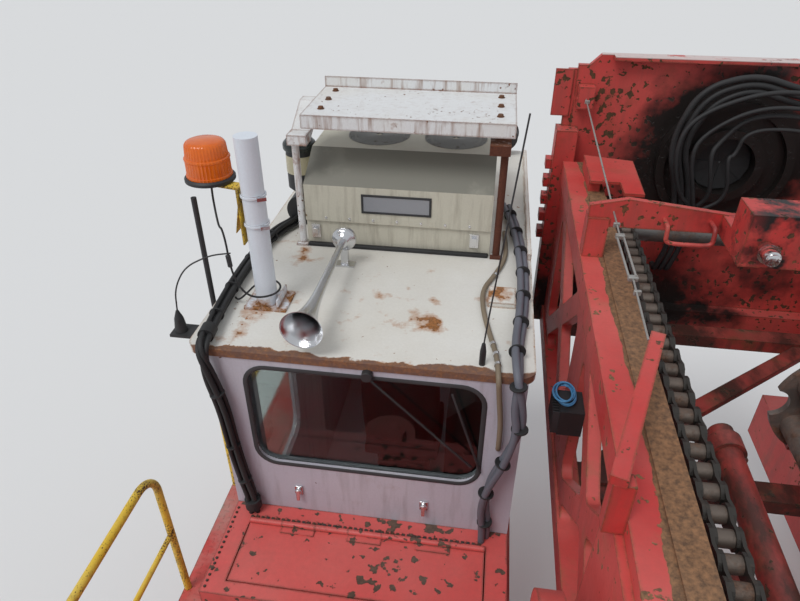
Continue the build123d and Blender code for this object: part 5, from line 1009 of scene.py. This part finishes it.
out_share, in_share = np.linspace(0, 1, 40), np.linspace(0.99, 0.35, 24)
skin = np.stack([flare(out_share), DRUM_Y - out_share * (DRUM_Y - BELL_Y)], axis=1)
lip = [(0.0805, BELL_Y + 0.0005), (0.0795, BELL_Y + 0.004)]
inside = np.stack([flare(in_share) - 0.002, DRUM_Y - in_share * (DRUM_Y - BELL_Y)], axis=1)
trumpet = np.vstack([[(0.0, DRUM_Y)], skin, lip, inside, [(0.0, inside[-1, 1])]])
drum = [(0.0, DRUM_Y - 0.018), (0.024, DRUM_Y - 0.018), (0.030, DRUM_Y - 0.004), (0.046, DRUM_Y + 0.002),
        (0.053, DRUM_Y + 0.008), (0.055, DRUM_Y + 0.014), (0.051, DRUM_Y + 0.017), (0.055, DRUM_Y + 0.020),
        (0.055, DRUM_Y + 0.036), (0.049, DRUM_Y + 0.040), (0.0, DRUM_Y + 0.040)]
horn_axis = (HORN_X, 0.0, HORN_Z)
foot_y, foot_z = DRUM_Y + 0.02, ROOF + 0.004
horn_parts = [turned(trumpet, horn_axis, upright=False), turned(drum, horn_axis, upright=False),
              bar((HORN_X, foot_y, foot_z), (HORN_X, foot_y, HORN_Z - 0.045), 0.034, 0.026),
              bar((HORN_X - 0.045, foot_y, foot_z), (HORN_X + 0.045, foot_y, foot_z), 0.05, 0.008, UP)]
horn = piece("air_horn_trumpet", horn_parts, horn_chrome, smooth=50)
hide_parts("air_horn")


# Hoses along the roof
# Left: a black hose with four more twisted round it, taped, over the roof edge and down the wall to
# the hood. Right: two grey conduits tied together, and a thin tan hose clipped beside them.
BUNDLE_ROUTE = ((-2.300, 4.372, 3.352), (-2.300, 4.340, 3.352), (-2.345, 4.260, 3.352), (-2.374, 4.130, 3.352),
                (-2.386, 3.960, 3.352), (-2.388, 3.760, 3.352), (-2.378, 3.560, 3.352), (-2.362, 3.400, 3.354),
                (-2.348, 3.262, 3.358), (-2.335, 3.258, 3.240), (-2.304, 3.264, 3.060), (-2.296, 3.266, 2.860),
                (-2.276, 3.266, 2.660), (-2.255, 3.266, 2.530), (-2.255, 3.266, 2.436))
CONDUIT_ROUTE = ((-1.218, 4.700, 3.352), (-1.180, 4.500, 3.352), (-1.154, 4.290, 3.352), (-1.140, 4.070, 3.352),
                 (-1.138, 3.850, 3.352), (-1.148, 3.640, 3.352), (-1.168, 3.440, 3.354), (-1.164, 3.254, 3.358),
                 (-1.150, 3.244, 3.220), (-1.136, 3.240, 3.120), (-1.178, 3.240, 2.950), (-1.230, 3.244, 2.800),
                 (-1.240, 3.252, 2.650), (-1.222, 3.262, 2.530), (-1.222, 3.262, 2.436))
TAN_ROUTE = ((-1.224, 4.420, 3.332), (-1.215, 4.300, 3.332), (-1.215, 4.150, 3.332), (-1.262, 3.990, 3.332),
             (-1.314, 3.860, 3.332), (-1.304, 3.700, 3.332), (-1.272, 3.540, 3.332), (-1.240, 3.400, 3.332),
             (-1.232, 3.276, 3.336), (-1.222, 3.276, 3.242), (-1.206, 3.280, 3.110), (-1.204, 3.280, 3.010),
             (-1.203, 3.290, 2.960), (-1.203, 3.304, 2.950))


def hose(name, route, radius, material, body="chassis"):
    """A round hose on a smooth curve that has its route's points as control points."""
    curve = bpy.data.curves.new(name, "CURVE")
    curve.dimensions = "3D"
    spline = curve.splines.new("NURBS")
    spline.points.add(len(route) - 1)
    for point, place in zip(spline.points, route):
        point.co = (*place, 1)
    spline.order_u = 3
    spline.use_endpoint_u = True
    spline.resolution_u = 8
    curve.bevel_depth, curve.bevel_resolution, curve.use_fill_caps = radius, 4, True
    curve.materials.append(material)
    made = placed(name, curve)
    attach(made, body)
    return made


def far_along(route):
    """Length of a route up to each of its points."""
    return np.concatenate([[0], np.cumsum(np.linalg.norm(np.diff(route, axis=0), axis=1))])


def beside(route, offset, twist):
    """A route moved sideways by offset, along a direction across the run that turns by twist a metre."""
    route = np.asarray(route, float)
    step = np.gradient(route, axis=0)
    step /= np.linalg.norm(step, axis=1)[:, None]
    side = np.cross(step, np.array([0.12, 0.25, 1.0]))
    side /= np.linalg.norm(side, axis=1)[:, None]
    over = np.cross(side, step)
    far = far_along(route)
    angle = (twist[0] + twist[1] * far)[:, None]
    return route + offset * (np.cos(angle) * side + np.sin(angle) * over)


tan_rubber = plastic("tan hose", (0.20, 0.155, 0.105), 0.55, 200.0)
bundle = [hose("roof_hose_black_0", BUNDLE_ROUTE, 0.0115, rubber)]
for i in range(4):
    route = beside(BUNDLE_ROUTE, 0.0195, (i * math.pi / 2 + 0.5, 0.55))
    bundle.append(hose(f"roof_hose_black_{i + 1}", route, 0.0095 + 0.0012 * (i % 2), rubber))
for i, start in enumerate((0.2, 0.2 + math.pi)):
    route = beside(CONDUIT_ROUTE, 0.0165, (start, 0.5))
    bundle.append(hose(f"roof_conduit_grey_{i}", route, 0.0150, grey_rubber))
bundle.append(hose("roof_hose_tan", TAN_ROUTE, 0.0105, tan_rubber))
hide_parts("roof_hoses")


# Ties, tape and sleeves on the hoses
# Each tie is a thin band round the whole bundle; tape is wound where it crosses the roof edge and where
# it goes down into the hood. Plated clamps hold the tan hose.
TIE_SHARES, TAPE_SHARE, SLEEVE_SHARE = (0.10, 0.22, 0.34, 0.44, 0.66, 0.80, 0.90), 0.50, 0.975
CONDUIT_TIES, CLAMP_SHARES = 12, (0.28, 0.62, 0.66, 0.70)


def band_round(route, share, radius, half):
    """A short sleeve about a route at a share of its length, across the run there."""
    route = np.asarray(route, float)
    far = far_along(route)
    at = share * far[-1]
    centre, ahead, back = (np.array([np.interp(where, far, route[:, k]) for k in range(3)])
                           for where in (at, min(at + 0.02, far[-1]), max(at - 0.02, 0)))
    along = (ahead - back) / np.linalg.norm(ahead - back)
    side = np.cross(along, (0.31, 0.2, 0.93))
    side /= np.linalg.norm(side)
    return prism(ring_outline(radius, 24), 2 * half, centre - along * half, side, np.cross(along, side))


ties = [band_round(BUNDLE_ROUTE, share, 0.0305, 0.004) for share in TIE_SHARES]
ties.append(band_round(BUNDLE_ROUTE, TAPE_SHARE, 0.0315, 0.030))
ties.append(band_round(BUNDLE_ROUTE, SLEEVE_SHARE, 0.036, 0.026))
ties += [band_round(CONDUIT_ROUTE, share, 0.0325, 0.0035) for share in np.linspace(0.05, 0.95, CONDUIT_TIES)]
piece("hose_ties", ties, rubber, bevel=0.001)
clips = [band_round(TAN_ROUTE, share, 0.0135, 0.007) for share in CLAMP_SHARES]
piece("tan_hose_clamps", clips, bright)


# Lead wound round the post's foot
# A thin black lead drops from the beacon in a slack arc, with an inline connector, to the roof.
LEAD_ROUTE = ((-2.400, 3.700, 3.838), (-2.400, 3.690, 3.800), (-2.375, 3.640, 3.735), (-2.352, 3.600, 3.690),
              (-2.330, 3.575, 3.700), (-2.318, 3.565, 3.640), (-2.316, 3.562, 3.560), (-2.304, 3.560, 3.480),
              (-2.272, 3.560, 3.415), (-2.220, 3.566, 3.392), (-2.152, 3.598, 3.398), (-2.146, 3.660, 3.402),
              (-2.200, 3.712, 3.398), (-2.270, 3.690, 3.384), (-2.300, 3.640, 3.360), (-2.330, 3.610, 3.340),
              (-2.352, 3.640, 3.336))
hose("beacon_lead", LEAD_ROUTE, 0.0042, rubber)
connector = band_round(LEAD_ROUTE, 0.36, 0.010, 0.026)
piece("beacon_lead_connector", [connector], black_plastic, bevel=0.003)


# Wrench arm, lever, tag plate and lamp on the left chord
# Flame cut plates in the same red paint, greasy where the wrench works; the lamp's casing is black.
# A round bar bent into a handle is welded to the arm, and the wrench turns on a worn pin.
LAMP_LOW, LAMP_HIGH, LAMP_INNER = (3.370, 2.985), (3.510, 3.115), -0.883


def wrench_grease(tree):
    """Grease over the wrench block, thinning out along its arm, in patches."""
    place = own_place(tree)
    x, _, z = split(tree, place)
    near = times(tree, ramp(tree, x, -0.50, -0.30), ramp(tree, z, 3.50, 3.52))
    return times(tree, near, ramp(tree, noise(tree, place, 4.5, 6.0), 0.47, 0.56))


def lamp_casing(tree):
    """Inside the box of the lamp's own solid."""
    x, y, z = split(tree)
    mask = ramp(tree, x, LAMP_INNER, LAMP_INNER - 0.001)
    for value, low, high in ((y, LAMP_LOW[0], LAMP_HIGH[0]), (z, LAMP_LOW[1], LAMP_HIGH[1])):
        mask = times(tree, mask, ramp(tree, value, low - 0.001, low))
        mask = times(tree, mask, ramp(tree, value, high + 0.001, high))
    return mask


bracket_paint = painted("red paint with wrench grease", RED, (0.68, 0.12, 0.10), dust=0.08, flakes=0.7,
                        flake_scale=30.0, edges=0.30)
toned(bracket_paint, [(wrench_grease, (0.014, 0.012, 0.012, 1)), (lamp_casing, (0.016, 0.016, 0.017, 1))])
coat(bracket_paint, "mast_brackets")
HANDLE_ROUTE = ((-0.585, 4.034, 3.640), (-0.585, 3.985, 3.640), (-0.585, 3.960, 3.640), (-0.585, 3.952, 3.610),
                (-0.585, 3.950, 3.580), (-0.560, 3.950, 3.570), (-0.490, 3.950, 3.570), (-0.425, 3.950, 3.570),
                (-0.400, 3.950, 3.580), (-0.400, 3.952, 3.610), (-0.400, 3.960, 3.640), (-0.400, 3.985, 3.640),
                (-0.400, 4.034, 3.640))
hose("wrench_arm_handle", HANDLE_ROUTE, 0.0095, bracket_paint, "mast")
PIN = (-0.285, 3.690, 3.675)
pin_profile = [(0.0, -0.002), (0.030, -0.002), (0.030, -0.016), (0.024, -0.018), (0.024, -0.030),
               (0.018, -0.034), (0.0, -0.034)]
pin_parts = [turned(profile, PIN, upright=False)
             for profile in (pin_profile, ring_profile(0.0275, 0.040, 0.020, 0.028))]
piece("wrench_pin_end", pin_parts, bright, "mast")


# Hoses over the drill bushing
# Greasy black hoses sag in uneven loops from the foot's top corner to its lower fittings, in front of
# the three that are clamped there.
FOOT_FACE, LOOP_DEPTH, LOOP_ENDS = 5.250, 5.075, ((0.62, 3.90), (-0.13, 3.10))


def foot_loop(reach, rise, drop, depth, slack):
    """Points of one loop in front of the foot: from the right clamp up and over to the left by reach,
    as high as rise, then down past the bushing to the lower clamp by drop, at a depth and with slack."""
    (x1, z1), (x0, z0) = LOOP_ENDS
    return ((x1, FOOT_FACE, z1 - drop), (x1 - 0.02, depth + 0.05, z1 - drop),
            (x1 - 0.16, depth, z1 + rise - 0.06), (x1 - 0.38, depth, z1 + rise),
            (x1 - 0.62, depth, z1 + rise - 0.02), (-reach, depth, z1 + rise - 0.16),
            (-reach - 0.05, depth - slack, z1 - 0.32), (-reach + 0.02, depth - slack, z1 - 0.56),
            (x0 - 0.02, depth, z0 + 0.14), (x0, depth + 0.04, z0), (x0 + 0.01, FOOT_FACE, z0 - 0.03))


loops = ((0.28, 0.02, 0.10, LOOP_DEPTH - 0.02, 0.03, 0.0125),
         (0.20, -0.05, 0.16, LOOP_DEPTH - 0.05, 0.02, 0.0110),
         (0.10, -0.10, 0.20, LOOP_DEPTH - 0.02, 0.04, 0.0125),
         (0.02, -0.16, 0.25, LOOP_DEPTH - 0.06, 0.03, 0.0100))
for i, (*shape, radius) in enumerate(loops):
    hose(f"foot_hose_{i}", foot_loop(*shape), radius, rubber, "mast")


# Dust wiper in the drill bushing
# Flaps of thick rubber, cut like the slices of a cake, close the bore round the drill rods. Their
# tips have taken a set away from the mast.
WIPER_FLAPS, WIPER_OUTER, WIPER_INNER, WIPER_THICK, FLAP_SLIT = 12, 0.156, 0.0024, 0.006, 0.0005
WIPER_LAYERS, WIPER_Y, LAYER_STEP = 2, 5.270, 0.016
COLLAR = ring_profile(0.146, 0.1645, -0.004, 0.022)
flaps = [turned(COLLAR, (BUSHING[0], WIPER_Y, BUSHING[1]), upright=False)]
inner, outer = (radius * math.tan(math.pi / WIPER_FLAPS) - FLAP_SLIT for radius in (WIPER_INNER, WIPER_OUTER))
outline = [(WIPER_INNER, -inner), (WIPER_OUTER, -outer), (WIPER_OUTER, outer), (WIPER_INNER, inner)]
for layer in range(WIPER_LAYERS):
    centre = (BUSHING[0], WIPER_Y + layer * LAYER_STEP, BUSHING[1])
    for i in range(WIPER_FLAPS):
        angle = 2 * np.pi * (i + 0.3 + 0.5 * layer) / WIPER_FLAPS
        lean = 0.10 + 0.04 * math.sin(2.3 * i + layer)
        radial = (math.cos(angle) * math.cos(lean), -math.sin(lean), math.sin(angle) * math.cos(lean))
        across = (-math.sin(angle), 0.0, math.cos(angle))
        flaps.append(prism(outline, WIPER_THICK, centre, radial, across))
piece("bushing_wiper", flaps, rubber, "mast", bevel=0.001)


# Trip cable along the mast
# Wire rope from the lever over the left chord to the clevis on the foot, with a turnbuckle, thimbles
# and clips. It is pulled tight.
CABLE_START, BUCKLE_START = (-0.780, 3.215, 3.598), (-0.777, 3.560, 3.613)
BUCKLE_END, CABLE_MIDDLE, CABLE_END = (-0.790, 3.860, 3.640), (-0.806, 4.50, 3.716), (-0.823, 5.213, 3.806)
CABLE_RADIUS, BUCKLE_HALF = 0.004, (0.013, 0, 0)
cable_steel = metal("wire rope", (0.42, 0.41, 0.39), (0.20, 0.13, 0.09), 0.35, 30.0, 0.45, 0.8)
for name, route in (("trip_cable_back", (CABLE_START, BUCKLE_START)),
                    ("trip_cable_front", (BUCKLE_END, CABLE_MIDDLE, CABLE_END))):
    hose(name, route, CABLE_RADIUS, cable_steel, "mast")
start, end, side = np.array(BUCKLE_START), np.array(BUCKLE_END), np.array(BUCKLE_HALF)
span = end - start
buckle = [bar(start + offset, end + offset, 0.008, 0.008, UP) for offset in (side, -side)]
buckle += [bar(start + share * span, start + (share + 0.07) * span, 0.036, 0.018, UP)
           for share in (0.0, 0.93)]
for place in (start - 0.25 * span, end + 0.25 * span, CABLE_END - 0.25 * span):
    buckle.append(bar(place - 0.02 * span, place + 0.02 * span, 0.026, 0.020, UP))
piece("trip_cable_fittings", buckle, cable_steel, "mast", bevel=0.002)


# Work lamp on the mast
# A black finned lamp on the left chord's web, its blue lead tied in a loose coil on top of it.
LAMP_X, LAMP_Y, LAMP_Z = -0.980, 3.440, 3.050
FINS, FIN_PITCH, FIN_HALF = 9, 0.015, 0.055
COIL_TURNS, COIL_HALF, COIL_RISE, COIL_SLACK = 5, (0.040, 0.060), 0.0042, 0.008
fin_x = LAMP_X - 0.012
fins = [bar((fin_x, y, LAMP_Z - FIN_HALF), (fin_x, y, LAMP_Z + FIN_HALF), 0.004, 0.026, ACROSS)
        for y in LAMP_Y - 0.060 + FIN_PITCH * np.arange(FINS)]
piece("mast_lamp_fins", fins, black_plastic, "mast")
turns = np.linspace(0, COIL_TURNS * 2 * np.pi, 61)
coil = np.stack([LAMP_X + 0.02 + COIL_HALF[0] * np.cos(turns) + COIL_SLACK * np.sin(0.37 * turns),
                 LAMP_Y + 0.030 + COIL_HALF[1] * np.sin(turns) + COIL_SLACK * np.cos(0.53 * turns),
                 LAMP_Z + 0.066 + COIL_RISE * turns / (2 * np.pi) + 0.003 * np.sin(1.3 * turns)], axis=1)
blue_lead = plastic("blue lead", (0.06, 0.22, 0.42), 0.45)
hose("mast_lamp_lead", [tuple(p) for p in coil], 0.0036, blue_lead, "mast")
